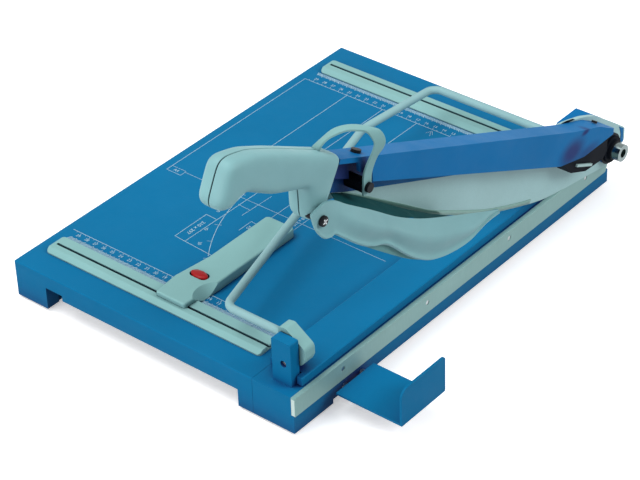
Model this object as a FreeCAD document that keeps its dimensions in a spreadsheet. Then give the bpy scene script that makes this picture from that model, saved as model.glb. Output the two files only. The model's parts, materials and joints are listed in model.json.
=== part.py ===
import FreeCAD
import Part
import math
import os
import Sketcher

# Lever-arm paper trimmer: a steel table with a fixed knife along its right edge, a hinged
# blade arm, a clamp pressed down by a bent hand bar, a backstop, and a strip stop.
#
# Layout axes: X runs from the table's left edge to the cutting side, Y from the front face
# to the back, Z up from the desk.  frame_left and frame_front move the layout so that the
# origin is the bottom centre of the whole trimmer's box.

doc = FreeCAD.newDocument("trimmer")

SIZES = {
    # where the layout's corner lies in the trimmer's own frame
    "frame_left": 190.5,
    "frame_front": 186.274,
    # how far cutters reach past what they cut, and the plays that many seats share
    "over": 1.0,
    "far": 20.0,
    "lead": 30.0,
    "deep": 60.0,
    "bore_play": 0.05,
    "press_play": 0.02,
    "screw_bury": 0.5,
    # table
    "table_width": 264.8,
    "table_depth": 440.0,
    "table_top": 37.2,
    "table_corner": 1.2,
    "table_edge": 1.0,
    "sheet": 2.5,
    "foot_height": 2.0,
    "foot_radius": 9.6,
    "skirt_bottom": 18.5,
    "pad_depth": 36.0,
    "leg_width": 15.8,
    "dent_left": 36.0,
    "dent_flat": 9.0,
    "dent_run": 19.0,
    "dent_depth": 11.0,
    "dent_cover": 13.2,
    "dent_round": 5.0,
    "dent_slack": 2.0,
    # bed under the cut line
    "seam": 0.2,
    "bed_width": 39.9,
    "bed_short": 2.0,
    "flank_out": 2.7,
    "bed_step": 19.5,
    "bed_wall": 6.0,
    "bed_cover": 6.2,
    "belly_rise": 4.0,
    "leg_depth": 48.0,
    "bed_foot_inset": 23.0,
    "ledge_reach": 10.8,
    "ledge_gap": 0.1,
    "ledge_sheet": 3.0,
    "ledge_inset": 24.0,
    "ledge_long": 40.0,
    "ledge_screw_in": 6.0,
    # fixed knife
    "knife_sheet": 4.0,
    "knife_tail": 5.6,
    "knife_screw_rise": 10.2,
    "knife_screw_radius": 2.2,
    "knife_screw_core": 1.54,
    "knife_screw_shank": 1.452,
    "knife_screw_sink": 0.5,
    "knife_screw_head": 2.0,
    "knife_screw_first": 60.0,
    "knife_screw_second": 170.0,
    "knife_screw_third": 285.0,
    "knife_screw_inset": 37.5,
    # arm pivot
    "pivot_inset": 13.0,
    "pivot_rise": 12.8,
    "pivot_radius": 5.0,
    "pivot_play": 0.06,
    "bolt_head_radius": 8.0,
    "bolt_head_height": 7.2,
    "bolt_socket_radius": 4.0,
    "bolt_socket_depth": 5.0,
    "bolt_tail": 7.0,
    "nut_radius": 8.5,
    "nut_flat": 7.36,
    "nut_height": 6.2,
    "ring_sheet": 1.1,
    "ring_radius": 14.5,
    "bush_flange_sheet": 2.2,
    "bush_barrel": 1.9,
    "bush_flange_radius": 12.6,
    "bush_radius": 9.6,
    "washer_sheet": 1.6,
    "washer_radius": 8.7,
    # rails
    "rail_left": 14.0,
    "rail_inset": 12.8,
    "rail_height": 4.5,
    "rail_front": 24.5,
    "rail_depth": 22.0,
    "rail_slot_in": 11.0,
    "rail_lip": 1.2,
    "rail_slope": 4.5,
    "back_rail_inset": 49.0,
    "back_rail_depth": 20.0,
    "back_rail_slot_in": 8.0,
    "slot_half": 1.3,
    "slot_stop": 3.0,
    "groove_half": 3.0,
    "groove_floor": 1.3,
    "groove_roof": 1.5,
    "rail_corner": 3.0,
    "rail_screw_radius": 1.85,
    "rail_screw_inset": 4.0,
    "back_rail_screw_in": 7.6,
    "rail_screw_left": 26.0,
    "rail_screw_right": 27.0,
    "rail_screw_short": 2.0,
    "screw_head_radius": 3.6,
    "screw_head_height": 2.4,
    # backstop
    "stop_left": 134.5,
    "stop_width": 31.5,
    "stop_front_in": 7.0,
    "stop_long": 138.5,
    "stop_lift": 0.4,
    "stop_rail_gap": 0.3,
    "stop_step_gap": 0.7,
    "stop_sheet": 4.2,
    "stop_waist_in": 2.5,
    "stop_flare": 2.0,
    "stop_edge": 1.6,
    "flare_start": 3.0,
    "waist_start": 25.0,
    "bulge_back": 2.0,
    "bulge_front": 12.0,
    "scoop_out": 12.0,
    "scoop_in": 24.5,
    "scoop_radius": 18.5,
    "scoop_foot": 11.0,
    "button_in": 14.0,
    "button_back": 38.5,
    "button_long": 9.0,
    "button_short": 4.7,
    "button_play": 0.3,
    "button_rise": 1.4,
    "button_height": 5.4,
    "button_edge": 1.2,
    "button_room": 3.0,
    "button_spring_radius": 3.0,
    "button_spring_bore": 2.0,
    "key_inset": 4.0,
    "key_play": 0.3,
    "key_lift": 0.2,
    "key_neck_play": 0.1,
    # posts and pins
    "post_inset": 26.2,
    "post_width": 19.2,
    "post_front": 10.0,
    "post_sheet": 10.0,
    "post_height": 41.1,
    "post_screw_shift": 2.0,
    "post_screw_front_in": 8.0,
    "post_screw_back_in": 24.0,
    "post_screw_height": 3.0,
    "post_screw_radius": 4.0,
    "pin_radius": 3.0,
    "pin_play": 0.05,
    "pin_sink": 2.4,
    "pin_out": 1.5,
    "pin_hole": 14.0,
    "rear_post_width": 25.7,
    "rear_post_reach": 31.0,
    "rear_post_tail": 14.0,
    "rear_post_step": 8.0,
    "rib_width": 4.7,
    "rib_out": 30.0,
    "rib_drop": 5.2,
    "rib_rise": 11.4,
    "rib_bite": 2.0,
    "rib_gap": 0.3,
    # clamp levers and the bent hand bar
    "lever_axis_inset": 14.7,
    "lever_axis_rise": 19.8,
    "lever_gap": 1.0,
    "lever_sheet": 12.0,
    "lever_reach": 13.5,
    "lever_heel": 9.0,
    "lever_drop": 6.0,
    "lever_nose": 13.2,
    "lever_nose_low": 3.0,
    "lever_nose_high": 12.0,
    "lever_crown": 25.3,
    "crown_fall": 1.5,
    "lever_bore": 21.0,
    "rear_lever_reach": 10.0,
    "rear_lever_crown": 21.5,
    "cam_offset": 5.16,
    "cam_gap": 0.15,
    "bar_rise": 13.8,
    "bar_radius": 3.6,
    "bar_end_inset": 6.0,
    "bar_front_in": 5.8,
    "bar_front_reach": 72.5,
    "bar_knee_reach": 148.5,
    "bar_knee_in": 93.0,
    "bar_rear_reach": 140.0,
    "bar_bend": 11.0,
    "bar_knee_bend": 40.0,
    # clamp plate and its springs
    "clamp_inset": 1.2,
    "clamp_gap": 1.0,
    "clamp_end_gap": 2.0,
    "clamp_rise": 1.0,
    "clamp_height": 7.3,
    "clamp_sheet": 2.0,
    "clamp_edge": 1.4,
    "jaw_width": 5.4,
    "ear_gap": 0.7,
    "ear_front_in": 5.5,
    "ear_back_in": 14.0,
    "spring_radius": 4.6,
    "spring_wire": 0.5,
    "spring_gap": 0.1,
    "spring_in": 18.9,
    "spring_front": 70.0,
    "spring_inset": 100.0,
    "spring_pitch": 1.7,
    # arm: an inverted channel, its long edge a straight slope
    "arm_width": 19.0,
    "arm_sheet": 2.5,
    "arm_sheet_sloped": 2.725,
    "bend_slack": 0.3,
    "head_inset": 2.0,
    "tail_inset": 3.0,
    "head_cut_out": 5.0,
    "head_cut_back": 12.7,
    "web_lead": 20.0,
    "web_rise": 44.6,
    "web_shift": 3.0,
    "web_lip": 1.846,
    "web_front_in": 20.6,
    "web_notch_in": 16.0,
    "web_notch_rise": 171.0,
    "web_notch_step": 5.0,
    # upper blade and its bolts
    "cut_gap": 0.1,
    "blade_sheet": 4.0,
    "blade_seat": 0.1,
    "blade_bolt_radius": 2.4,
    "blade_bolt_head": 4.6,
    "blade_bolt_head_height": 4.0,
    "blade_bolt_skin": 0.6,
    "blade_bolt_run": 63.6,
    "blade_bolt_inset": 15.6,
    "blade_bolt_pitch": 70.0,
    # light
    "light_gap": 1.0,
    "strip_seat": 0.05,
    "strip_out": 1.2,
    # tang and handle
    "tang_seat": 0.05,
    "tang_sheet": 6.05,
    "tang_play": 0.3,
    "handle_split_in": 9.4,
    "handle_left_half": 12.9,
    "handle_right_half": 13.1,
    "handle_gap": 0.3,
    "handle_round": 6.4,
    "handle_screw_radius": 2.0,
    "handle_screw_head": 3.6,
    "handle_screw_play": 0.1,
    "handle_screw_floor": 2.5,
    "handle_screw_seat": 5.0,
    "handle_screw_end": 4.0,
    # guard
    "guard_collar": 3.7,
    "guard_sheet": 2.8,
    "guard_gap": 0.1,
    "guard_axis_reach": 425.0,
    "guard_axis_rise": 168.3,
    "guard_pin_radius": 2.6,
    "guard_pin_in": 2.0,
    "guard_collar_radius": 4.2,
    "guard_head_radius": 4.3,
    "guard_head_height": 1.6,
    # strap
    "strap_width": 9.5,
    "strap_sheet": 1.6,
    "strap_crown_rise": 0.665,
    "strap_gap": 0.3,
    "strap_foot_reach": 362.5,
    "strap_foot_rise": 161.0,
    "strap_foot_out": 1.2,
    "standoff_radius": 5.8,
    "standoff_bore": 12.0,
    "strap_screw_radius": 2.2,
    "strap_head_radius": 4.0,
    "strap_head_height": 2.6,
    # screws on the arm's top
    "top_screw_in": 9.0,
    "top_screw_run": 29.6,
    "top_screw_gap": 0.12,
    "top_screw_height": 2.4,
    "rear_screw_in": 8.8,
    "rear_screw_run": 5.8,
    "rear_screw_gap": 0.75,
    "rear_screw_height": 1.8,
    "rear_screw_radius": 2.6,
    # strip stop on the cutting side
    "side_gap": 6.7,
    "side_reach": 65.5,
    "side_front": 42.0,
    "side_depth": 56.0,
    "side_sheet": 2.0,
    "side_rise": 7.5,
    "side_plate_height": 34.5,
    "rod_radius": 3.0,
    "rod_play": 0.05,
    "rod_height": 11.0,
    "rod_front_in": 20.0,
    "rod_pitch": 22.0,
    "rod_inside": 49.8,
    "rod_end": 1.2,
    "carrier_in": 2.5,
    "carrier_width": 12.0,
    "carrier_margin": 6.0,
    "carrier_drop": 4.5,
}

# Side outlines of what turns about the arm's pivot and of the pivot's lug, as (y, z) pairs
# from the pivot: y is below zero towards the front.
OUTLINES = {
    "arm_top": [(-390.6, 199.2), (-82.0, 65.0), (-43.0, 50.5), (-16.0, 34.5), (10.0, 10.0)],
    "arm_low": [(-407.2, 171.3), (-365.0, 150.4), (-105.0, 41.0), (-66.0, 32.0), (-18.0, 32.0)],
    "blade_edge": [
        (-402.5, 158.5), (-390.8, 154.1), (-370.0, 148.0), (-317.3, 111.1), (-264.8, 73.6),
        (-226.9, 52.0), (-186.1, 30.6), (-156.9, 18.2), (-118.9, 4.2), (-97.7, -2.4),
        (-63.6, -8.8), (-27.0, -14.5), (-1.0, -19.0), (16.0, -15.0), (27.5, -4.0), (27.5, 7.0),
        (10.7, 19.9), (-2.7, 29.8), (-22.4, 44.0), (-43.0, 52.6), (-67.0, 59.4), (-86.0, 62.5),
        (-102.0, 68.5), (-393.6, 195.3), (-406.6, 171.0),
    ],
    "lug": [(-40.5, -12.8), (-22.5, 21.0), (17.0, 21.0), (23.0, -5.0), (10.5, -17.0)],
    "light": [
        (-99.0, 41.5), (-91.0, 33.0), (-81.0, 21.5), (-58.0, 11.6), (-31.0, 10.0), (-25.0, 16.0),
        (-25.0, 29.0), (-43.0, 42.0), (-82.0, 58.0), (-99.0, 63.0),
    ],
    "handle": [
        (-390.0, 203.2), (-457.0, 239.5), (-483.0, 252.0), (-508.5, 258.0), (-526.5, 222.0),
        (-507.0, 221.0), (-497.0, 227.5), (-466.0, 208.2), (-428.5, 193.5), (-428.0, 162.5),
        (-413.8, 162.8),
    ],
    "tang": [(-369.2, 166.8), (-369.2, 181.3), (-469.0, 235.0), (-479.0, 225.0), (-447.0, 206.0)],
    "guard": [
        (-424.0, 151.5), (-413.5, 149.5), (-402.1, 142.1), (-375.3, 116.7), (-353.5, 98.3),
        (-331.0, 81.5), (-305.0, 64.0), (-284.0, 54.0), (-251.0, 48.0), (-229.0, 51.5),
        (-203.0, 54.0), (-229.0, 65.5), (-282.0, 88.5), (-332.0, 119.5), (-370.0, 146.5),
        (-397.0, 164.0), (-423.0, 184.5), (-437.5, 183.0), (-435.5, 172.0), (-431.5, 162.5),
    ],
    "arm_hub": [(12.0, -8.0), (-6.0, -14.0), (-26.0, 6.0)],
    "strip": [(-74.5, 25.0), (-51.5, 14.2), (-50.5, 16.3), (-73.5, 27.1)],
    "handle_screw": [(-460.0, 223.0), (-431.0, 207.0), (-409.0, 193.0)],
}

# Corner radii of the outlines, one for each corner in order; None stays sharp.
ROUNDS = {
    "knife": [None, 3.0, 6.0, 12.0, 22.0, 18.0, 20.0, None],
    "post": [None, None, 1.5, 1.5],
    "rear_post": [None, None, 4.0, 2.0, 2.0],
    "rib": [None, None, None, 5.0, 4.0, None],
    "arm": [1.0, 30.0, 40.0, 30.0, 14.0, 6.0, 8.0, 14.0, 14.0, 20.0, 40.0, 4.0],
    "web": [None, None, 3.0, 3.0, None, None],
    "blade": [3.0, 10.0, 20.0] + [90.0] * 7 + [60.0, 40.0, 20.0, 14.0, 7.0, 7.0, 30.0, 30.0]
    + [40.0] * 5 + [2.0, 2.0],
    "light": [3.0, 6.0, 8.0, 8.0, 5.0, 4.0, 4.0, 4.0, 4.0, 3.0],
    "tang": [None, None, 5.0, 5.0, 20.0],
    "handle": [5.0, 80.0, 60.0, 9.0, 7.0, 8.0, 10.0, 60.0, 5.0, 4.5, 6.0],
    "guard": [3.0, 5.0, 8.0] + [40.0] * 4 + [30.0, 60.0, 30.0, 1.0] + [60.0] * 4
    + [40.0, 8.0, 5.0, 8.0, 8.0],
    "lever": [None, 6.0, 4.0, 6.0, 4.0, 2.5],
    "stop": [2.0, 2.0, 8.0, 4.0, 4.0, 14.0, 10.0, 10.0],
    "side": [None, 1.5, 3.0, 9.0],
    "carrier": [2.0, 2.0, 2.0, 2.0],
}

# Stations of the strap, from the handle's top over to the arm's side: the middle of the
# band as x from the arm's left face and (y, z) from the pivot, and how far half of its
# width reaches along X and Y at that station.
STRAP = [
    (8.5, -408.0, 209.0, 3.7, -1.9), (9.5, -405.3, 213.5, 3.8, -2.0),
    (11.5, -399.8, 218.0, 3.9, -2.5), (15.0, -391.5, 221.6, 3.8, -2.7),
    (19.5, -384.1, 222.8, 3.4, -3.1), (24.5, -376.2, 221.0, 2.8, -3.6),
    (29.0, -369.1, 217.3, 1.6, -4.3), (32.0, -364.0, 211.0, -0.6, -4.6),
    (32.9, -362.1, 204.6, -1.6, -4.4), (31.2, -362.4, 198.0, -0.9, -4.5),
    (27.8, -363.2, 190.6, -0.2, -4.5), (24.6, -363.4, 182.9, -0.3, -4.5),
    (22.1, -363.3, 175.1, -0.3, -4.5), (20.6, -362.7, 167.2, 0.0, -4.6),
    (20.2, -362.5, 161.0, 0.0, -4.7), (20.2, -362.5, 155.0, 0.0, -4.7),
]

# Places that follow from the sizes; the sheet works out the same sums.
PLACES = {
    "pivot_back": "table_depth - pivot_inset",
    "pivot_height": "table_top + pivot_rise",
    # table and bed
    "leg_left": "table_width - leg_width",
    "dent_right": "dent_left + dent_run",
    "dent_top": "table_top - dent_cover",
    "bed_left": "table_width + seam",
    "bed_right": "table_width + bed_width",
    "bed_flank": "bed_right + flank_out",
    "bed_depth": "table_depth - bed_short",
    "bed_roof": "table_top - bed_cover",
    "bed_belly": "foot_height + belly_rise",
    "rear_leg": "table_depth - leg_depth",
    "ledge_left": "table_width - ledge_reach",
    "ledge_top": "table_top - sheet - ledge_gap",
    "ledge_bottom": "ledge_top - ledge_sheet",
    "ledge_front": "pad_depth + ledge_inset",
    "ledge_rear": "table_depth - pad_depth - ledge_inset - ledge_long",
    # fixed knife
    "knife_left": "bed_right + seam / 2",
    "knife_right": "knife_left + knife_sheet",
    "knife_bottom": "bed_step + seam / 2",
    "knife_back": "pivot_back + knife_tail",
    "knife_screw_height": "knife_bottom + knife_screw_rise",
    "knife_screw_last": "bed_depth - knife_screw_inset",
    # upper blade, arm and pivot stack, outwards from the knife's cutting face
    "blade_left": "knife_right + cut_gap",
    "blade_right": "blade_left + blade_sheet",
    "arm_left": "blade_right + blade_seat",
    "arm_inside": "arm_left + arm_sheet",
    "arm_right": "arm_left + arm_width",
    "arm_web": "arm_right - arm_sheet",
    "ring_left": "arm_inside + seam",
    "bush_left": "ring_left + ring_sheet",
    "bush_flange": "bush_left + bush_flange_sheet",
    "bush_right": "bush_flange + bush_barrel",
    "bolt_head_left": "bush_right + washer_sheet",
    "bolt_head_right": "bolt_head_left + bolt_head_height",
    "light_right": "arm_web - light_gap",
    # rails
    "rail_right": "table_width - rail_inset",
    "rail_top": "table_top + rail_height",
    "rail_rear": "rail_front + rail_depth",
    "rail_slot": "rail_front + rail_slot_in",
    "back_rail_front": "table_depth - back_rail_inset",
    "back_rail_rear": "back_rail_front + back_rail_depth",
    "back_rail_slot": "back_rail_rear - back_rail_slot_in",
    "groove_bottom": "table_top + groove_floor",
    "groove_top": "rail_top - groove_roof",
    "rail_screw_low_x": "rail_left + rail_screw_left",
    "rail_screw_high_x": "rail_right - rail_screw_right",
    "rail_screw_y": "rail_rear - rail_screw_inset",
    "back_rail_screw_y": "back_rail_front + back_rail_screw_in",
    # backstop
    "stop_right": "stop_left + stop_width",
    "stop_front": "rail_front + stop_front_in",
    "stop_step": "rail_rear + stop_step_gap",
    "stop_back": "stop_front + stop_long",
    "stop_bottom": "table_top + stop_lift",
    "stop_over_rail": "rail_top + stop_rail_gap",
    "stop_top": "stop_over_rail + stop_sheet",
    "stop_waist": "stop_left + stop_waist_in",
    "stop_bulge": "stop_left - stop_waist_in",
    "scoop_x": "stop_right + scoop_out",
    "scoop_y": "stop_front + scoop_in",
    "button_x": "stop_left + button_in",
    "button_y": "stop_front + button_back",
    "button_top": "stop_top + button_rise",
    "button_bottom": "button_top - button_height",
    "button_floor": "button_bottom - button_room",
    # posts and clamp levers
    "post_left": "bed_right - post_inset",
    "post_right": "post_left + post_width",
    "post_back": "post_front + post_sheet",
    "post_top": "table_top + post_height",
    "rear_post_left": "bed_right - rear_post_width",
    "rear_post_front": "pivot_back - rear_post_reach",
    "rear_post_foot": "pivot_back + rear_post_tail",
    "rib_left": "bed_right - rib_width",
    "rib_back": "bed_depth + rib_out",
    "rib_bottom": "table_top - rib_drop",
    "rib_top": "table_top + rib_rise",
    "lever_axis_x": "bed_right - lever_axis_inset",
    "lever_axis_z": "table_top + lever_axis_rise",
    "lever_front": "post_back + lever_gap",
    "lever_back": "lever_front + lever_sheet",
    "rear_lever_back": "rear_post_front - lever_gap",
    "rear_lever_front": "rear_lever_back - lever_sheet",
    "lever_left": "lever_axis_x - lever_reach",
    "rear_lever_left": "lever_axis_x - rear_lever_reach",
    "bar_height": "lever_axis_z + bar_rise",
    "bar_end": "lever_axis_x - bar_end_inset",
    "bar_front": "lever_front + bar_front_in",
    "bar_back": "rear_lever_front + lever_sheet / 2",
    "bar_front_corner": "lever_axis_x - bar_front_reach",
    "bar_knee_x": "lever_axis_x - bar_knee_reach",
    "bar_knee_y": "bar_back - bar_knee_in",
    "bar_rear_corner": "lever_axis_x - bar_rear_reach",
    # clamp plate
    "clamp_left": "table_width + clamp_inset",
    "clamp_right": "knife_left - clamp_gap",
    "clamp_front": "post_back + clamp_end_gap",
    "clamp_back": "rear_post_front - clamp_end_gap",
    "clamp_ear_front": "post_front + ear_front_in",
    "clamp_ear_back": "rear_post_front + ear_back_in",
    "clamp_bottom": "table_top + clamp_rise",
    "clamp_top": "clamp_bottom + clamp_height",
    "clamp_jaw": "clamp_right - jaw_width",
    "ear_left": "post_right + ear_gap",
    "ear_right": "rear_post_left - ear_gap",
    "cam_x": "lever_axis_x - cam_offset",
    "cam_radius": "lever_axis_z - clamp_top - cam_gap",
    "spring_x": "clamp_left + spring_in",
    "spring_rear": "table_depth - spring_inset",
    "spring_room": "clamp_top - clamp_sheet - table_top",
    "spring_turns_height": "spring_room - spring_wire * 2 - spring_gap * 3",
    # tang, handle, guard and strap
    "tang_left": "arm_inside + tang_seat",
    "tang_right": "tang_left + tang_sheet",
    "handle_split": "arm_left + handle_split_in",
    "handle_left": "handle_split - handle_left_half",
    "handle_right": "handle_split + handle_right_half",
    "guard_left": "handle_right + guard_collar",
    "guard_right": "guard_left + guard_sheet",
    "guard_axis_y": "pivot_back - guard_axis_reach",
    "guard_axis_z": "pivot_height + guard_axis_rise",
    "guard_head_left": "guard_right + guard_gap",
    "guard_head_right": "guard_right + guard_head_height",
    "strap_foot_x": "arm_right + strap_foot_out",
    "strap_foot_y": "pivot_back - strap_foot_reach",
    "strap_foot_z": "pivot_height + strap_foot_rise",
    # strip stop
    "rod_front": "side_front + rod_front_in",
    "rod_rear": "rod_front + rod_pitch",
    "rod_left": "table_width - rod_inside",
    "side_left": "knife_right + side_gap",
    "side_right": "side_left + side_reach",
    "side_back": "side_front + side_depth",
    "side_bottom": "rod_height + side_rise",
    "side_plate_top": "side_bottom + side_plate_height",
    "carrier_left": "side_left + carrier_in",
    "carrier_right": "carrier_left + carrier_width",
    "carrier_front": "rod_front - carrier_margin",
    "carrier_back": "rod_rear + carrier_margin",
    "carrier_bottom": "rod_height - carrier_drop",
}

for name, points in OUTLINES.items():
    for number, (reach, rise) in enumerate(points, 1):
        SIZES[f"{name}_y{number}"] = reach
        SIZES[f"{name}_z{number}"] = rise
        PLACES[f"{name}_y{number}_at"] = f"pivot_back + {name}_y{number}"
        PLACES[f"{name}_z{number}_at"] = f"pivot_height + {name}_z{number}"

for name, radii in ROUNDS.items():
    for number, radius in enumerate(radii, 1):
        if radius is not None:
            SIZES[f"{name}_round{number}"] = radius

for number, station in enumerate(STRAP, 1):
    for letter, value in zip(("x", "y", "z", "lean_x", "lean_y"), station):
        SIZES[f"strap_{letter}{number}"] = value
    PLACES[f"strap_x{number}_at"] = f"arm_left + strap_x{number}"
    PLACES[f"strap_y{number}_at"] = f"pivot_back + strap_y{number}"
    PLACES[f"strap_z{number}_at"] = f"pivot_height + strap_z{number}"

# the arm's top from its front end to its first bend, and on to the second
PLACES.update({
    "top_run": "arm_top_y2_at - arm_top_y1_at",
    "top_fall": "arm_top_z1_at - arm_top_z2_at",
    "bend_run": "arm_top_y4_at - arm_top_y3_at",
    "bend_fall": "arm_top_z3_at - arm_top_z4_at",
    "blade_bolt_y": "arm_top_y1_at + blade_bolt_run",
    "blade_bolt_drop": "blade_bolt_run * top_fall / top_run",
    "blade_bolt_z": "arm_top_z1_at - blade_bolt_drop - blade_bolt_inset",
    "blade_bolt_fall": "blade_bolt_pitch * top_fall / top_run",
    "web_front": "arm_top_y1_at + web_front_in",
    "web_notch": "web_front + web_notch_in",
    "web_notch_top": "pivot_height + web_notch_rise",
})


def measure(text):
    """The size that a sum such as "table_top - sheet / 2" stands for."""
    total = 0.0
    sign = 1.0
    product = None
    divide = False
    for word in text.split():
        if word in ("+", "-"):
            total += sign * (product or 0.0)
            sign = 1.0 if word == "+" else -1.0
            product = None
            divide = False
        elif word == "*":
            divide = False
        elif word == "/":
            divide = True
        else:
            factor = VALUES[word] if word in VALUES else float(word)
            if product is None:
                product = factor
            else:
                product = product / factor if divide else product * factor
    return total + sign * (product or 0.0)


VALUES = dict(SIZES)
for alias, text in PLACES.items():
    VALUES[alias] = measure(text)

sheet = doc.addObject("Spreadsheet::Sheet", "dims")
for row, alias in enumerate(VALUES, 1):
    sheet.set(f"A{row}", alias)
    sheet.set(f"B{row}", f"={PLACES[alias]}" if alias in PLACES else str(SIZES[alias]))
    sheet.setAlias(f"B{row}", alias)
doc.recompute()


def formula(text):
    """The same sum, written for the sheet's cells."""
    return " ".join(f"dims.{word}" if word in VALUES else word for word in text.split())


def rounds(name):
    """The named radii of an outline's corners."""
    return [
        None if radius is None else f"{name}_round{number}"
        for number, radius in enumerate(ROUNDS[name], 1)
    ]


def low_side(text):
    """A sum with its signs turned, to be taken away from another."""
    return text.replace(" - ", " ~ ").replace(" + ", " - ").replace(" ~ ", " + ")


def in_frame(shape_object):
    """Places a body or a boolean in the trimmer's frame."""
    shape_object.setExpression("Placement.Base.x", "-dims.frame_left")
    shape_object.setExpression("Placement.Base.y", "-dims.frame_front")


def body(label):
    new = doc.addObject("PartDesign::Body", label)
    new.Label = label
    in_frame(new)
    return new


def plane_sketch(owner, plane, offset):
    sketch = owner.newObject("Sketcher::SketchObject", owner.Label + "_sketch")
    support = [item for item in owner.Origin.OriginFeatures if item.Role == plane + "_Plane"][0]
    sketch.AttachmentSupport = (support, [""])
    sketch.MapMode = "FlatFace"
    sketch.AttachmentOffset.Base.z = measure(offset)
    sketch.setExpression("AttachmentOffset.Base.z", formula(offset))
    return sketch


def pin_point(sketch, geometry, end, place):
    """Holds a point at a named place in the sketch."""
    for kind, text in zip(("DistanceX", "DistanceY"), place):
        index = sketch.addConstraint(Sketcher.Constraint(kind, geometry, end, measure(text)))
        if any(word in VALUES for word in text.split()):
            sketch.setExpression(f"Constraints[{index}]", formula(text))


def draw_outline(sketch, places, rounds=None, closed=True):
    """Draws straight sides through named corners, with a tangent arc at each rounded one."""
    count = len(places)
    corners = [FreeCAD.Vector(measure(u), measure(v), 0) for u, v in places]
    radii = list(rounds) if rounds else [None] * count
    if not closed:
        radii[0] = None
        radii[-1] = None
    arrive = []
    leave = []
    centres = []
    for i, corner in enumerate(corners):
        if radii[i] is None:
            arrive.append(corner)
            leave.append(corner)
            centres.append(None)
            continue
        back = (corners[i - 1] - corner).normalize()
        ahead = (corners[(i + 1) % count] - corner).normalize()
        half = back.getAngle(ahead) / 2
        reach = measure(radii[i]) / math.tan(half)
        arrive.append(corner + back * reach)
        leave.append(corner + ahead * reach)
        bisector = (back + ahead).normalize()
        centres.append(corner + bisector * (measure(radii[i]) / math.sin(half)))
    lines = []
    for i in range(count if closed else count - 1):
        lines.append(sketch.addGeometry(Part.LineSegment(leave[i], arrive[(i + 1) % count]), False))
    first_arc = {}
    for i, centre in enumerate(centres):
        if centre is None:
            continue
        start = arrive[i] - centre
        finish = leave[i] - centre
        turn = start.x * finish.y - start.y * finish.x
        begin, end = (arrive[i], leave[i]) if turn > 0 else (leave[i], arrive[i])
        angle_begin = math.atan2((begin - centre).y, (begin - centre).x)
        angle_end = math.atan2((end - centre).y, (end - centre).x)
        if angle_end < angle_begin:
            angle_end += 2 * math.pi
        circle = Part.Circle(centre, FreeCAD.Vector(0, 0, 1), measure(radii[i]))
        arc = sketch.addGeometry(Part.ArcOfCircle(circle, angle_begin, angle_end), False)
        first_arc[i] = (arc, 1 if turn > 0 else 2, 2 if turn > 0 else 1)
    for i in range(count):
        before = lines[i - 1] if closed or i > 0 else None
        after = lines[i] if closed or i < count - 1 else None
        if i in first_arc:
            arc, arriving, leaving = first_arc[i]
            sketch.addConstraint(Sketcher.Constraint("Tangent", before, 2, arc, arriving))
            sketch.addConstraint(Sketcher.Constraint("Tangent", arc, leaving, after, 1))
            index = sketch.addConstraint(
                Sketcher.Constraint("Radius", arc, measure(radii[i]))
            )
            sketch.setExpression(f"Constraints[{index}]", formula(radii[i]))
            corner = sketch.addGeometry(Part.Point(corners[i]), True)
            pin_point(sketch, corner, 1, places[i])
            sketch.addConstraint(Sketcher.Constraint("PointOnObject", corner, 1, before))
            sketch.addConstraint(Sketcher.Constraint("PointOnObject", corner, 1, after))
        elif before is None:
            pin_point(sketch, after, 1, places[i])
        elif after is None:
            pin_point(sketch, before, 2, places[i])
        else:
            sketch.addConstraint(Sketcher.Constraint("Coincident", before, 2, after, 1))
            pin_point(sketch, after, 1, places[i])


def draw_circle(sketch, place, radius):
    centre = FreeCAD.Vector(measure(place[0]), measure(place[1]), 0)
    circle = sketch.addGeometry(
        Part.Circle(centre, FreeCAD.Vector(0, 0, 1), measure(radius)), False
    )
    pin_point(sketch, circle, 3, place)
    index = sketch.addConstraint(Sketcher.Constraint("Radius", circle, measure(radius)))
    sketch.setExpression(f"Constraints[{index}]", formula(radius))


def box_outline(u_low, u_high, v_low, v_high):
    return [(u_low, v_low), (u_high, v_low), (u_high, v_high), (u_low, v_high)]


def extrude(owner, kind, plane, low, high, draw):
    """Pads or pockets a sketch between two named levels along the plane's axis."""
    cutting = kind == "Pocket"
    if plane == "XZ":
        level = "0 - " + low_side(low if cutting else high)
    else:
        level = high if cutting else low
    sketch = plane_sketch(owner, plane, level)
    draw(sketch)
    doc.recompute()
    before = owner.Shape.Volume if owner.Tip else 0.0
    feature = owner.newObject("PartDesign::" + kind, f"{owner.Label}_{kind.lower()}")
    feature.Profile = sketch
    length = high + " - " + low_side(low)
    feature.Length = measure(length)
    feature.setExpression("Length", formula(length))
    sketch.Visibility = False
    owner.Tip = feature
    doc.recompute()
    if "Invalid" in feature.State or "Error" in feature.State:
        raise RuntimeError(f"{owner.Label}: {kind} failed")
    after = owner.Shape.Volume
    changed = before - after if cutting else after - before
    if changed <= 0:
        raise RuntimeError(f"{owner.Label}: {kind} between {low} and {high} changed nothing")
    return feature


def pad(owner, plane, low, high, places, rounds=None):
    return extrude(
        owner, "Pad", plane, low, high, lambda sketch: draw_outline(sketch, places, rounds)
    )


def pocket(owner, plane, low, high, places, rounds=None):
    return extrude(
        owner, "Pocket", plane, low, high, lambda sketch: draw_outline(sketch, places, rounds)
    )


def round_pad(owner, plane, low, high, place, radius):
    return extrude(
        owner, "Pad", plane, low, high, lambda sketch: draw_circle(sketch, place, radius)
    )


def bore(owner, plane, low, high, place, radius):
    return extrude(
        owner, "Pocket", plane, low, high, lambda sketch: draw_circle(sketch, place, radius)
    )


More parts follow.
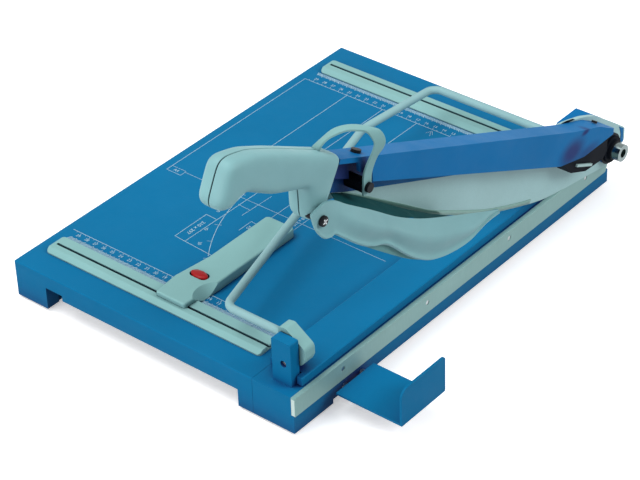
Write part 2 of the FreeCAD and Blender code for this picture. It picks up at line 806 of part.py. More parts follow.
def fillet(owner, radius, wanted):
    """Rounds the edges of the body's last feature that the test picks."""
    base = owner.Tip
    edges = [
        f"Edge{number}" for number, edge in enumerate(base.Shape.Edges, 1) if wanted(edge)
    ]
    if not edges:
        raise RuntimeError(f"{owner.Label}: no edge to round")
    feature = owner.newObject("PartDesign::Fillet", owner.Label + "_round")
    feature.Base = (base, edges)
    feature.Radius = measure(radius)
    feature.setExpression("Radius", formula(radius))
    owner.Tip = feature
    doc.recompute()
    if "Invalid" in feature.State or feature.Shape.isNull():
        raise RuntimeError(f"{owner.Label}: rounding failed")
    return feature


CLOSE = 0.001


def along(edge, axis):
    """Whether a straight edge runs along the axis."""
    if len(edge.Vertexes) < 2 or edge.Curve.TypeId != "Part::GeomLine":
        return False
    return abs(abs(edge.tangentAt(edge.FirstParameter).dot(axis)) - 1) < CLOSE * CLOSE


def near(value, text):
    return abs(value - measure(text)) < CLOSE


ALONG_X = FreeCAD.Vector(1, 0, 0)
ALONG_Y = FreeCAD.Vector(0, 1, 0)
ALONG_Z = FreeCAD.Vector(0, 0, 1)
FULL_TURN = 360
TURN = {
    "X": FreeCAD.Rotation(ALONG_Y, 90),
    "Y": FreeCAD.Rotation(ALONG_X, -90),
    "Z": FreeCAD.Rotation(),
}


def cylinder(name, axis, place, low, high, radius):
    """A cylinder along an axis; place is its centre in the other two axes, in order."""
    new = doc.addObject("Part::Cylinder", name)
    length = high + " - " + low_side(low)
    new.setExpression("Radius", formula(radius))
    new.setExpression("Height", formula(length))
    where = {
        "X": (low, place[0], place[1]),
        "Y": (place[0], low, place[1]),
        "Z": (place[0], place[1], low),
    }[axis]
    new.Placement = FreeCAD.Placement(FreeCAD.Vector(), TURN[axis])
    for letter, text in zip("xyz", where):
        new.setExpression(f"Placement.Base.{letter}", formula(text))
    return new


def joined(label, pieces):
    """One node made of several plain solids."""
    new = doc.addObject("Part::MultiFuse", label)
    new.Label = label
    new.Shapes = pieces
    in_frame(new)
    return new


def outline_places(name, first=1, last=None):
    last = last or len(OUTLINES[name])
    return [(f"{name}_y{i}_at", f"{name}_z{i}_at") for i in range(first, last + 1)]


# ---------------------------------------------------------------- table

RAIL_SCREWS = [
    (screw_x, screw_y)
    for screw_y in ("rail_screw_y", "back_rail_screw_y")
    for screw_x in ("rail_screw_low_x", "rail_screw_high_x")
]
table = body("base_table")
pad(table, "XY", "foot_height", "table_top", box_outline("0", "table_width", "0", "table_depth"))
fillet(table, "table_corner", lambda edge: along(edge, ALONG_Z) and near(edge.CenterOfMass.x, "0"))
fillet(
    table, "table_edge",
    lambda edge: near(edge.BoundBox.ZMin, "table_top")
    and not near(edge.CenterOfMass.x, "table_width"),
)
# a dent in the skirt beside each left foot, and the hollow under the sheet that follows it
for face, inward in (("0", "+"), ("table_depth", "-")):
    outward = "-" if inward == "+" else "+"
    pocket(
        table, "XY", "0", "dent_top",
        [
            ("dent_left", f"{face} {outward} sheet"),
            ("dent_left", f"{face} {inward} dent_depth"),
            ("dent_left + dent_flat", f"{face} {inward} dent_depth"),
            ("dent_right", f"{face} {inward} 0"),
            ("dent_right", f"{face} {outward} sheet"),
        ],
        [None, "sheet", "dent_round", None, None],
    )
pocket(
    table, "XY", "0", "table_top - sheet",
    [
        ("sheet", "sheet"),
        ("dent_left - sheet", "sheet"),
        ("dent_left - sheet", "dent_depth + sheet"),
        ("dent_left + dent_flat + over", "dent_depth + sheet"),
        ("dent_right + dent_slack", "sheet"),
        ("table_width + sheet", "sheet"),
        ("table_width + sheet", "table_depth - sheet"),
        ("dent_right + dent_slack", "table_depth - sheet"),
        ("dent_left + dent_flat + over", "table_depth - dent_depth - sheet"),
        ("dent_left - sheet", "table_depth - dent_depth - sheet"),
        ("dent_left - sheet", "table_depth - sheet"),
        ("sheet", "table_depth - sheet"),
    ],
)
pocket(
    table, "XY", "dent_top + sheet", "table_top - sheet",
    box_outline("sheet", "table_width + sheet", "sheet", "table_depth - sheet"),
)
pocket(
    table, "XY", "0", "skirt_bottom",
    box_outline("dent_left", "leg_left", "0 - sheet", "table_depth + sheet"),
)
pocket(
    table, "XY", "0", "skirt_bottom",
    box_outline("0 - sheet", "table_width + sheet", "pad_depth", "table_depth - pad_depth"),
)
# floors in the two left feet and the two legs beside the bed
for floor_left, floor_right in (
    ("sheet / 2", "dent_left - sheet / 2"),
    ("leg_left", "table_width"),
):
    for floor_front, floor_back in (
        ("sheet / 2", "pad_depth"),
        ("table_depth - pad_depth", "table_depth - sheet / 2"),
    ):
        pad(
            table, "XY", "foot_height", "foot_height + sheet",
            box_outline(floor_left, floor_right, floor_front, floor_back),
        )
for place in RAIL_SCREWS:
    bore(
        table, "XY", "table_top - sheet * 2", "table_top + over", place,
        "rail_screw_radius + bore_play",
    )

# ---------------------------------------------------------------- bed under the cut line

bed = body("bed_rail")
pad(
    bed, "XZ", "0", "bed_depth",
    [
        ("bed_left", "foot_height"),
        ("bed_flank", "foot_height"),
        ("bed_flank", "bed_step"),
        ("bed_right", "bed_step"),
        ("bed_right", "table_top"),
        ("bed_left", "table_top"),
    ],
)
pocket(
    bed, "XY", "0", "bed_roof",
    box_outline(
        "bed_left + bed_wall", "bed_right - bed_wall",
        "bed_wall", "bed_depth - bed_wall",
    ),
)
pocket(
    bed, "XY", "0", "bed_belly",
    box_outline("table_width", "bed_flank + over", "leg_depth", "bed_depth + over"),
)
pad(
    bed, "XY", "foot_height", "foot_height + bed_wall",
    box_outline("table_width + bed_wall", "bed_right - bed_wall / 2", "bed_wall / 2", "leg_depth"),
)
pad(
    bed, "XY", "foot_height", "foot_height + bed_wall",
    box_outline(
        "table_width + bed_wall", "bed_right - bed_wall * 2", "rear_leg", "bed_depth - bed_wall / 2"
    ),
)
for ledge_start in ("ledge_front", "ledge_rear"):
    pad(
        bed, "XY", "ledge_bottom", "ledge_top",
        box_outline(
            "ledge_left", "table_width + bed_wall / 2",
            ledge_start, ledge_start + " + ledge_long",
        ),
    )
for rod_y in ("rod_front", "rod_rear"):
    bore(
        bed, "YZ", "table_width", "bed_flank + over",
        (rod_y, "rod_height"), "rod_radius + rod_play",
    )
KNIFE_SCREWS = [
    (screw_y, "knife_screw_height")
    for screw_y in (
        "knife_screw_first", "knife_screw_second", "knife_screw_third", "knife_screw_last"
    )
]
for place in KNIFE_SCREWS:
    bore(
        bed, "YZ", "bed_right - bed_wall - over", "bed_right + over", place, "knife_screw_core",
    )

# ---------------------------------------------------------------- fixed knife and its pivot lug

knife = body("lower_knife")
pad(
    knife, "YZ", "knife_left", "knife_right",
    [("0", "knife_bottom"), ("knife_back", "knife_bottom")]
    + list(reversed(outline_places("lug")))
    + [("0", "table_top")],
    rounds("knife"),
)
bore(
    knife, "YZ", "knife_left - over", "knife_right + over",
    ("pivot_back", "pivot_height"), "pivot_radius + pivot_play",
)
for place in KNIFE_SCREWS:
    bore(knife, "YZ", "knife_left - over", "knife_right + over", place, "knife_screw_core")
    bore(
        knife, "YZ", "knife_right - knife_screw_sink - knife_screw_head", "knife_right + over",
        place, "knife_screw_radius + pivot_play",
    )

screws = []
for number, place in enumerate(KNIFE_SCREWS, 1):
    screws.append(cylinder(
        f"knife_screw_head{number}", "X", place,
        "knife_right - knife_screw_sink - knife_screw_head",
        "knife_right - knife_screw_sink", "knife_screw_radius",
    ))
    screws.append(cylinder(
        f"knife_screw_shank{number}", "X", place, "bed_right - bed_wall + screw_bury",
        "knife_right - knife_screw_sink - knife_screw_head", "knife_screw_shank",
    ))
joined("knife_screws", screws)

# ---------------------------------------------------------------- rails with T-slots

for label, front, rear, slot, places in (
    ("front_rail", "rail_front", "rail_rear", "rail_slot", RAIL_SCREWS[:2]),
    ("back_rail", "back_rail_front", "back_rail_rear", "back_rail_slot", RAIL_SCREWS[2:]),
):
    rail = body(label)
    pad(
        rail, "XY", "table_top", "rail_top",
        box_outline("rail_left", "rail_right", front, rear),
        ["rail_corner"] * 4,
    )
    # the long front edge slopes down to a low lip
    pocket(
        rail, "YZ", "rail_left - over", "rail_right + over",
        [
            (front + " - over", "table_top + rail_lip"),
            (front, "table_top + rail_lip"),
            (front + " + rail_slope", "rail_top"),
            (front + " + rail_slope", "rail_top + over"),
            (front + " - over", "rail_top + over"),
        ],
    )
    pocket(
        rail, "YZ", "rail_left + slot_stop", "rail_right + over",
        [
            (slot + " - groove_half", "groove_bottom"),
            (slot + " + groove_half", "groove_bottom"),
            (slot + " + groove_half", "groove_top"),
            (slot + " + slot_half", "groove_top"),
            (slot + " + slot_half", "rail_top + over"),
            (slot + " - slot_half", "rail_top + over"),
            (slot + " - slot_half", "groove_top"),
            (slot + " - groove_half", "groove_top"),
        ],
    )
    for place in places:
        bore(
            rail, "XY", "table_top - over", "rail_top - groove_roof", place,
            "rail_screw_radius + bore_play",
        )

screws = []
for number, place in enumerate(RAIL_SCREWS, 1):
    screws.append(cylinder(
        f"rail_screw_head{number}", "Z", place, "table_top - sheet - screw_head_height",
        "table_top - sheet", "screw_head_radius",
    ))
    screws.append(cylinder(
        f"rail_screw_shank{number}", "Z", place, "table_top - sheet - screw_bury",
        "rail_top - rail_screw_short", "rail_screw_radius",
    ))
joined("rail_screws", screws)

# ---------------------------------------------------------------- feet and table screws

feet = []
for number, (foot_x, foot_y) in enumerate(
    [
        ("pad_depth / 2", "pad_depth / 2"),
        ("pad_depth / 2", "table_depth - pad_depth / 2"),
        ("bed_right - bed_foot_inset", "leg_depth / 2"),
        ("bed_right - bed_foot_inset", "table_depth - pad_depth / 2"),
    ],
    1,
):
    feet.append(cylinder(
        f"foot{number}", "Z", (foot_x, foot_y), "0", "foot_height", "foot_radius",
    ))
joined("rubber_feet", feet)

screws = []
for number, ledge_start in enumerate(("ledge_front", "ledge_rear"), 1):
    screws.append(cylinder(
        f"table_screw_head{number}", "Z",
        ("ledge_left + ledge_screw_in", ledge_start + " + ledge_long / 2"),
        "ledge_bottom - screw_head_height", "ledge_bottom", "screw_head_radius",
    ))
joined("table_screws", screws)

# ---------------------------------------------------------------- clamp posts and pins

post = body("front_post")
pad(
    post, "XZ", "post_front", "post_back",
    box_outline("post_left", "post_right", "table_top", "post_top"),
    rounds("post"),
)
bore(
    post, "XZ", "post_front - over", "post_back + over",
    ("lever_axis_x", "lever_axis_z"), "pin_radius + pin_play / 2",
)

rear = body("rear_post")
pad(
    rear, "YZ", "rear_post_left", "bed_right - seam / 2",
    [
        ("rear_post_front", "table_top"),
        ("rear_post_foot", "table_top"),
        ("rear_post_foot", "pivot_height + rear_post_step"),
        ("pivot_back", "post_top"),
        ("rear_post_front", "post_top"),
    ],
    rounds("rear_post"),
)
pad(
    rear, "YZ", "rib_left", "bed_right - seam / 2",
    [
        ("rear_post_foot - rib_bite", "table_top"),
        ("bed_depth + rib_gap", "table_top"),
        ("bed_depth + rib_gap", "rib_bottom"),
        ("rib_back", "rib_bottom"),
        ("rib_back", "rib_top"),
        ("rear_post_foot - rib_bite", "rib_top"),
    ],
    rounds("rib"),
)
bore(
    rear, "YZ", "rear_post_left - over", "bed_right + over",
    ("pivot_back", "pivot_height"), "pivot_radius + pivot_play / 2",
)
bore(
    rear, "XZ", "rear_post_front - over", "rear_post_front + pin_hole",
    ("lever_axis_x", "lever_axis_z"), "pin_radius + pin_play / 2",
)

pin = body("front_pin")
round_pad(
    pin, "XZ", "post_front + pin_sink", "lever_back + pin_out",
    ("lever_axis_x", "lever_axis_z"), "pin_radius",
)
pin = body("rear_pin")
round_pad(
    pin, "XZ", "rear_lever_front - pin_out", "rear_post_front + pin_hole - screw_bury",
    ("lever_axis_x", "lever_axis_z"), "pin_radius",
)

screws = []
for number, place in enumerate(
    [
        ("lever_axis_x - post_screw_shift", "post_front + post_sheet / 2"),
        ("lever_axis_x", "rear_post_front + post_screw_front_in"),
        ("lever_axis_x", "rear_post_front + post_screw_back_in"),
    ],
    1,
):
    screws.append(cylinder(
        f"post_screw{number}", "Z", place, "bed_roof - post_screw_height", "bed_roof",
        "post_screw_radius",
    ))
joined("post_screws", screws)

# ---------------------------------------------------------------- pivot bolt and its stack

bolt = body("pivot_bolt")
round_pad(
    bolt, "YZ", "rear_post_left - bolt_tail", "bolt_head_left",
    ("pivot_back", "pivot_height"), "pivot_radius",
)
round_pad(
    bolt, "YZ", "bolt_head_left", "bolt_head_right",
    ("pivot_back", "pivot_height"), "bolt_head_radius",
)
bore(
    bolt, "YZ", "bolt_head_right - bolt_socket_depth", "bolt_head_right + over",
    ("pivot_back", "pivot_height"), "bolt_socket_radius",
)
nut = body("pivot_nut")
NUT_CORNERS = [
    ("pivot_back - nut_radius", "pivot_height"),
    ("pivot_back - nut_radius / 2", "pivot_height - nut_flat"),
    ("pivot_back + nut_radius / 2", "pivot_height - nut_flat"),
    ("pivot_back + nut_radius", "pivot_height"),
    ("pivot_back + nut_radius / 2", "pivot_height + nut_flat"),
    ("pivot_back - nut_radius / 2", "pivot_height + nut_flat"),
]
pad(nut, "YZ", "rear_post_left - nut_height", "rear_post_left - bore_play", NUT_CORNERS)
bore(
    nut, "YZ", "rear_post_left - nut_height - over", "rear_post_left + over",
    ("pivot_back", "pivot_height"), "pivot_radius + pivot_play / 2",
)
bush = body("pivot_bush")
round_pad(
    bush, "YZ", "bush_left", "bush_flange", ("pivot_back", "pivot_height"), "bush_flange_radius"
)
round_pad(
    bush, "YZ", "bush_flange", "bush_right", ("pivot_back", "pivot_height"), "bush_radius"
)
bore(
    bush, "YZ", "bush_left - over", "bush_right + over",
    ("pivot_back", "pivot_height"), "pivot_radius + pivot_play / 2",
)
for label, ring_low, ring_high, ring_round in (
    ("pivot_ring", "ring_left", "bush_left", "ring_radius"),
    ("pivot_washer", "bush_right", "bolt_head_left", "washer_radius"),
):
    ring = body(label)
    round_pad(ring, "YZ", ring_low, ring_high, ("pivot_back", "pivot_height"), ring_round)
    bore(
        ring, "YZ", "ring_left - over", "bolt_head_left + over",
        ("pivot_back", "pivot_height"), "pivot_radius + pivot_play / 2",
    )

# ---------------------------------------------------------------- blade arm

arm = body("arm_beam")
pad(
    arm, "YZ", "arm_left", "arm_right",
    outline_places("arm_top") + outline_places("arm_hub")
    + list(reversed(outline_places("arm_low", 1, 4))),
    rounds("arm"),
)
# the space between the webs, open below and at the front
pocket(
    arm, "YZ", "arm_inside", "arm_web",
    [
        ("arm_top_y1_at - lead", "arm_top_z1_at + lead * top_fall / top_run - arm_sheet_sloped"),
        ("arm_top_y2_at", "arm_top_z2_at - arm_sheet_sloped"),
        ("arm_top_y3_at", "arm_top_z3_at - arm_sheet - bend_slack"),
        ("arm_top_y4_at - head_inset", "arm_top_z4_at - arm_sheet - bend_slack * 2"),
        ("arm_top_y5_at - tail_inset", "arm_top_z5_at - arm_sheet"),
        ("arm_top_y5_at + far", "0"),
        ("arm_top_y1_at - lead", "0"),
    ],
)
# the right web ends higher than the left one, and is cut back around the pivot
pocket(
    arm, "YZ", "arm_inside", "arm_right + over",
    [
        ("arm_low_y1_at - web_lead", "arm_low_z2_at + web_rise"),
        ("arm_low_y3_at + web_shift", "arm_low_z3_at - bend_slack"),
        ("arm_low_y4_at", "arm_low_z4_at"),
        ("arm_low_y5_at", "arm_low_z5_at"),
        ("arm_top_y5_at + lead", "arm_low_z5_at"),
        ("arm_top_y5_at + lead", "0"),
        ("arm_low_y1_at - web_lead", "0"),
    ],
)
pocket(
    arm, "YZ", "arm_web", "arm_right + over",
    [
        (
            "arm_top_y1_at - lead",
            "arm_top_z1_at + lead * top_fall / top_run - web_lip - arm_sheet",
        ),
        ("web_front", "arm_top_z1_at - web_front_in * top_fall / top_run - web_lip - arm_sheet"),
        ("web_front + over", "web_notch_top + web_notch_step"),
        ("web_notch", "web_notch_top"),
        ("web_notch", "web_notch_top - deep"),
        ("arm_top_y1_at - lead", "web_notch_top - deep"),
    ],
    rounds("web"),
)
# the head's outer corner is cut off in plan
pocket(
    arm, "XY", "0", "arm_top_z1_at",
    [
        ("arm_right + head_cut_out", "arm_low_y5_at - head_cut_back"),
        ("arm_inside", "arm_top_y5_at - head_inset"),
        ("arm_inside", "arm_top_y5_at + lead"),
        ("arm_right + head_cut_out", "arm_top_y5_at + lead"),
    ],
)
bore(
    arm, "YZ", "arm_left - over", "arm_inside + over",
    ("pivot_back", "pivot_height"), "pivot_radius + pivot_play",
)
BLADE_BOLTS = [
    (f"blade_bolt_y + blade_bolt_pitch * {k}", f"blade_bolt_z - blade_bolt_fall * {k}")
    for k in range(4)
]
for place in BLADE_BOLTS:
    bore(
        arm, "YZ", "arm_left - over", "arm_inside + over", place, "blade_bolt_radius + bore_play"
    )

blade = body("upper_blade")
pad(
    blade, "YZ", "blade_left", "blade_right", outline_places("blade_edge"),
    rounds("blade"),
)
bore(
    blade, "YZ", "blade_left - over", "blade_right + over",
    ("pivot_back", "pivot_height"), "pivot_radius + pivot_play",
)
for place in BLADE_BOLTS:
    bore(
        blade, "YZ", "blade_left + blade_bolt_skin", "blade_right + over", place,
        "blade_bolt_radius + bore_play",
    )

screws = []
for number, place in enumerate(BLADE_BOLTS, 1):
    screws.append(cylinder(
        f"blade_bolt_head{number}", "X", place, "arm_inside",
        "arm_inside + blade_bolt_head_height", "blade_bolt_head",
    ))
    screws.append(cylinder(
        f"blade_bolt_shank{number}", "X", place, "blade_left + blade_bolt_skin + seam",
        "arm_inside + over", "blade_bolt_radius",
    ))
joined("blade_bolts", screws)

light = body("light_housing")
pad(light, "YZ", "arm_inside", "light_right", outline_places("light"), rounds("light"))
strip = body("light_strip")
pad(
    strip, "YZ", "light_right + strip_seat", "arm_web + strip_out", outline_places("strip")
)

# ---------------------------------------------------------------- tang and handle

tang = body("arm_tang")
pad(tang, "YZ", "tang_left", "tang_right", outline_places("tang"), rounds("tang"))
HANDLE_SCREWS = outline_places("handle_screw")
for place in HANDLE_SCREWS:
    bore(
        tang, "YZ", "tang_left - over", "tang_right + over", place,
        "handle_screw_radius + handle_screw_play",
    )

handle = body("handle_left")
pad(handle, "YZ", "handle_left", "handle_split", outline_places("handle"), rounds("handle"))
fillet(handle, "handle_round", lambda edge: near(edge.CenterOfMass.x, "handle_left"))
pocket(
    handle, "YZ", "tang_left - tang_seat", "handle_split + over",
    [
        ("tang_y1_at", "tang_z1_at - tang_play"),
        ("tang_y1_at", "tang_z2_at + tang_play"),
        ("tang_y3_at + tang_play", "tang_z3_at + tang_play * 2"),
        ("tang_y4_at - over", "tang_z4_at"),
        ("tang_y5_at", "tang_z5_at - tang_play * 2"),
    ],
)
for place in HANDLE_SCREWS:
    bore(
        handle, "YZ", "handle_left + handle_screw_floor", "handle_split + over", place,
        "handle_screw_radius + handle_screw_play",
    )
    bore(
        handle, "YZ", "handle_left - over", "handle_left + handle_screw_seat", place,
        "handle_screw_head + handle_screw_play",
    )

grip = body("handle_right")
pad(
    grip, "YZ", "handle_split + handle_gap", "handle_right", outline_places("handle"),
    rounds("handle"),
)
fillet(grip, "handle_round", lambda edge: near(edge.CenterOfMass.x, "handle_right"))
for place in HANDLE_SCREWS:
    bore(
        grip, "YZ", "handle_split", "handle_right - handle_screw_end", place,
        "handle_screw_radius + handle_screw_play",
    )
bore(
    grip, "YZ", "handle_split", "handle_right + over",
    ("guard_axis_y", "guard_axis_z"), "guard_pin_radius + bore_play",
)

screws = []
for number, place in enumerate(HANDLE_SCREWS, 1):
    screws.append(cylinder(
        f"handle_screw_head{number}", "X", place,
        "handle_left + handle_screw_floor + handle_screw_play",
        "handle_left + handle_screw_seat", "handle_screw_head",
    ))
    screws.append(cylinder(
        f"handle_screw_shank{number}", "X", place, "handle_left + handle_screw_seat - over",
        "handle_right - handle_screw_end - screw_bury", "handle_screw_radius",
    ))
joined("handle_screws", screws)

# ---------------------------------------------------------------- blade guard

guard = body("blade_guard")
pad(guard, "YZ", "guard_left", "guard_right", outline_places("guard"), rounds("guard"))
bore(
    guard, "YZ", "guard_left - over", "guard_right + over",
    ("guard_axis_y", "guard_axis_z"), "guard_pin_radius + pivot_play",
)
hinge = [
    cylinder(
        "guard_shank", "X", ("guard_axis_y", "guard_axis_z"), "handle_split + guard_pin_in",
        "guard_head_left + screw_bury", "guard_pin_radius",
    ),
    cylinder(
        "guard_collar", "X", ("guard_axis_y", "guard_axis_z"), "handle_right",
        "guard_left - guard_gap", "guard_collar_radius",
    ),
    cylinder(
        "guard_head", "X", ("guard_axis_y", "guard_axis_z"), "guard_head_left",
        "guard_head_right", "guard_head_radius",
    ),
]
joined("guard_screw", hinge)

# ---------------------------------------------------------------- strap over the handle

STATIONS = range(1, len(STRAP) + 1)
# where the band runs almost level, its width is turned by a set amount
STRAP_CROWN = range(4, 8)
middles = [
    FreeCAD.Vector(*[measure(f"strap_{letter}{i}_at") for letter in "xyz"]) for i in STATIONS
]
sections = []
for i, middle in zip(STATIONS, middles):
    heading = (middles[min(i, len(STRAP) - 1)] - middles[max(i - 2, 0)]).normalize()
    lean = FreeCAD.Vector(measure(f"strap_lean_x{i}"), measure(f"strap_lean_y{i}"), 0)
    if i in STRAP_CROWN:
        lean.z = measure("strap_crown_rise")
    else:
        lean.z = -(lean.x * heading.x + lean.y * heading.y) / heading.z
    half_width = lean.normalize() * (measure("strap_width") / 2)
    half_sheet = half_width.cross(heading).normalize() * (measure("strap_sheet") / 2)
    sections.append(Part.makePolygon([
        middle - half_width - half_sheet,
        middle + half_width - half_sheet,
        middle + half_width + half_sheet,
        middle - half_width + half_sheet,
        middle - half_width - half_sheet,
    ]))
strap_shape = Part.makeLoft(sections, True, False).cut(
    Part.Compound([
        doc.getObject(half).Tip.Shape for half in ("handle_left", "handle_right")
    ])
)
strap_hole = Part.makeCylinder(
    measure("strap_screw_radius + bore_play"), measure("far"),
    FreeCAD.Vector(
        measure("strap_foot_x - far / 2"), measure("strap_foot_y"), measure("strap_foot_z")
    ),
    ALONG_X,
)
strap = doc.addObject("Part::Feature", "strap")
strap.Label = "strap"
strap.Shape = strap_shape.cut(strap_hole)
strap.Placement = FreeCAD.Placement(
    FreeCAD.Vector(-measure("frame_left"), -measure("frame_front"), 0), FreeCAD.Rotation()
)

standoff = body("strap_standoff")
round_pad(
    standoff, "YZ", "arm_inside", "strap_foot_x - strap_sheet / 2 - strap_gap",
    ("strap_foot_y", "strap_foot_z"), "standoff_radius",
)
bore(
    standoff, "YZ", "arm_right - standoff_bore", "strap_foot_x",
    ("strap_foot_y", "strap_foot_z"), "strap_screw_radius + bore_play",
)
joined("strap_screw", [
    cylinder(
        "strap_screw_shank", "X", ("strap_foot_y", "strap_foot_z"),
        "arm_right - standoff_bore + over",
        "strap_foot_x + strap_sheet / 2 + strap_gap + screw_bury", "strap_screw_radius",
    ),
    cylinder(
        "strap_screw_head", "X", ("strap_foot_y", "strap_foot_z"),
        "strap_foot_x + strap_sheet / 2 + strap_gap",
        "strap_foot_x + strap_sheet / 2 + strap_gap + strap_head_height", "strap_head_radius",
    ),
])

# ---------------------------------------------------------------- screws on the arm's top

# how steeply the arm's top falls where each screw stands, in degrees
ARM_SLOPE = math.degrees(math.atan2(measure("top_fall"), measure("top_run")))
HEAD_SLOPE = 32.2


def top_screw(label, place, slope, radius, height):
    """A pan head screw standing square on the sloping top of the arm."""
    head = doc.addObject("Part::Cylinder", label)
    head.Label = label
    head.setExpression("Radius", formula(radius))
    head.setExpression("Height", formula(height))
    head.Placement = FreeCAD.Placement(
        FreeCAD.Vector(), FreeCAD.Rotation(ALONG_X, -slope)
    )
    for letter, text in zip("xyz", place):
        head.setExpression(f"Placement.Base.{letter}", formula(text))
    return head


top_screw(
    "arm_screw_front",
    (
        "arm_left + top_screw_in - frame_left",
        "arm_top_y1_at + top_screw_run - frame_front",
        "arm_top_z1_at - top_screw_run * top_fall / top_run + top_screw_gap",
    ),
    ARM_SLOPE, "strap_head_radius", "top_screw_height",
)
top_screw(
    "arm_screw_rear",
    (
        "arm_left + rear_screw_in - frame_left",
        "arm_top_y3_at + rear_screw_run - frame_front",
        "arm_top_z3_at - rear_screw_run * bend_fall / bend_run + rear_screw_gap",
    ),
    HEAD_SLOPE, "rear_screw_radius", "rear_screw_height",
)

# ---------------------------------------------------------------- clamp levers and hand bar

for label, front, back, left, crown in (
    ("front_lever", "lever_front", "lever_back", "lever_left", "lever_crown"),
    ("rear_lever", "rear_lever_front", "rear_lever_back", "rear_lever_left", "rear_lever_crown"),
):
    lever = body(label)
    pad(
        lever, "XZ", front, back,
        [
            (left, "lever_axis_z"),
            ("lever_axis_x + lever_heel", "lever_axis_z - lever_drop"),
            ("lever_axis_x + lever_nose", "lever_axis_z + lever_nose_low"),
            ("lever_axis_x + lever_nose", "lever_axis_z + lever_nose_high"),
            ("bar_end", f"lever_axis_z + {crown}"),
            (left, f"lever_axis_z + {crown} - crown_fall"),
        ],
        rounds("lever"),
    )
    round_pad(lever, "XZ", front, back, ("cam_x", "lever_axis_z"), "cam_radius")
    bore(
        lever, "XZ", front + " - over", back + " + over",
        ("lever_axis_x", "lever_axis_z"), "pin_radius + pin_play",
    )
    bore(
        lever, "YZ", "cam_x - lever_bore", "bar_end + seam",
        ("bar_front" if label == "front_lever" else "bar_back", "bar_height"),
        "bar_radius + press_play",
    )

bar = body("clamp_bar")
bar_path = plane_sketch(bar, "XY", "bar_height")
draw_outline(
    bar_path,
    [
        ("bar_end", "bar_front"),
        ("bar_front_corner", "bar_front"),
        ("bar_knee_x", "bar_knee_y"),
        ("bar_rear_corner", "bar_back"),
        ("bar_end", "bar_back"),
    ],
    [None, "bar_bend", "bar_knee_bend", "bar_bend", None],
    closed=False,
)
bar_section = plane_sketch(bar, "YZ", "bar_end")
draw_circle(bar_section, ("bar_front", "bar_height"), "bar_radius")
doc.recompute()
tube = bar.newObject("PartDesign::AdditivePipe", "clamp_bar_tube")
tube.Profile = bar_section
tube.Spine = (bar_path, [""])
bar.Tip = tube
doc.recompute()

# ---------------------------------------------------------------- clamp plate and springs

clamp = body("clamp_plate")
pad(
    clamp, "XY", "clamp_bottom", "clamp_top",
    [
        ("clamp_left", "clamp_front"),
        ("ear_left", "clamp_front"),
        ("ear_left", "clamp_ear_front"),
        ("clamp_right", "clamp_ear_front"),
        ("clamp_right", "clamp_back"),
        ("ear_right", "clamp_back"),
        ("ear_right", "clamp_ear_back"),
        ("clamp_left", "clamp_ear_back"),
    ],
)
pocket(
    clamp, "XY", "0", "clamp_top - clamp_sheet",
    box_outline(
        "clamp_left + clamp_sheet", "clamp_jaw",
        "clamp_front - far", "clamp_ear_back + far",
    ),
)
fillet(
    clamp, "clamp_edge",
    lambda edge: along(edge, ALONG_Y) and near(edge.CenterOfMass.z, "clamp_top")
    and (near(edge.CenterOfMass.x, "clamp_right") or near(edge.CenterOfMass.x, "clamp_left")),
)

for label, spring_y in (
    ("clamp_spring_front", "spring_front"),
    ("clamp_spring_rear", "spring_rear"),
):
    coil = body(label)
    wire = plane_sketch(coil, "XZ", "0 - " + spring_y)
    wire.AttachmentOffset.Base.x = measure("spring_x")
    wire.setExpression("AttachmentOffset.Base.x", formula("spring_x"))
    draw_circle(wire, ("spring_radius", "table_top + spring_wire + spring_gap"), "spring_wire")
    doc.recompute()
    helix = coil.newObject("PartDesign::AdditiveHelix", label + "_coil")
    helix.Profile = wire
    helix.ReferenceAxis = (wire, ["V_Axis"])
    helix.Mode = 0
    helix.Pitch = measure("spring_pitch")
    helix.Height = measure("spring_turns_height")
    helix.setExpression("Pitch", formula("spring_pitch"))
    helix.setExpression("Height", formula("spring_turns_height"))
    coil.Tip = helix
    doc.recompute()

# ---------------------------------------------------------------- backstop

stop = body("backstop_bar")
pad(
    stop, "XY", "stop_bottom", "stop_top",
    [
        ("stop_left", "stop_front"),
        ("stop_right", "stop_front"),
        ("stop_right + stop_flare", "button_y + flare_start"),
        ("stop_right + stop_flare", "stop_back"),
        ("stop_waist", "stop_back"),
        ("stop_waist", "button_y + waist_start"),
        ("stop_bulge + stop_flare", "button_y + bulge_back"),
        ("stop_bulge", "button_y - bulge_front"),
    ],
    rounds("stop"),
)
pocket(
    stop, "XY", "0", "stop_over_rail",
    box_outline("stop_left - far", "stop_right + far", "stop_front - far", "stop_step"),
)
fillet(
    stop, "stop_edge",
    lambda edge: near(edge.CenterOfMass.z, "stop_top") and near(edge.BoundBox.ZMin, "stop_top"),
)
# a conical scoop for the finger in the right flank
scoop_sketch = plane_sketch(stop, "XZ", "0 - scoop_y")
scoop_sketch.AttachmentOffset.Base.x = measure("scoop_x")
scoop_sketch.setExpression("AttachmentOffset.Base.x", formula("scoop_x"))
draw_outline(
    scoop_sketch,
    [
        ("0", "stop_bottom"), ("scoop_foot", "stop_bottom"),
        ("scoop_radius + over", "stop_top + over"), ("0", "stop_top + over"),
    ],
)
scoop = stop.newObject("PartDesign::Groove", "backstop_scoop")
scoop.Profile = scoop_sketch
scoop.ReferenceAxis = (scoop_sketch, ["V_Axis"])
scoop.Angle = FULL_TURN
stop.Tip = scoop
doc.recompute()
extrude(
    stop, "Pocket", "XY", "button_floor", "stop_top + over",
    lambda sketch: draw_outline(
        sketch,
        box_outline(
            "button_x - button_long - button_play", "button_x + button_long + button_play",
            "button_y - button_short - button_play", "button_y + button_short + button_play",
        ),
        ["button_short"] * 4,
    ),
)
button = body("backstop_button")
pad(
    button, "XY", "button_bottom", "button_top",
    box_outline(
        "button_x - button_long", "button_x + button_long",
        "button_y - button_short", "button_y + button_short",
    ),
    ["button_short - button_play"] * 4,
)
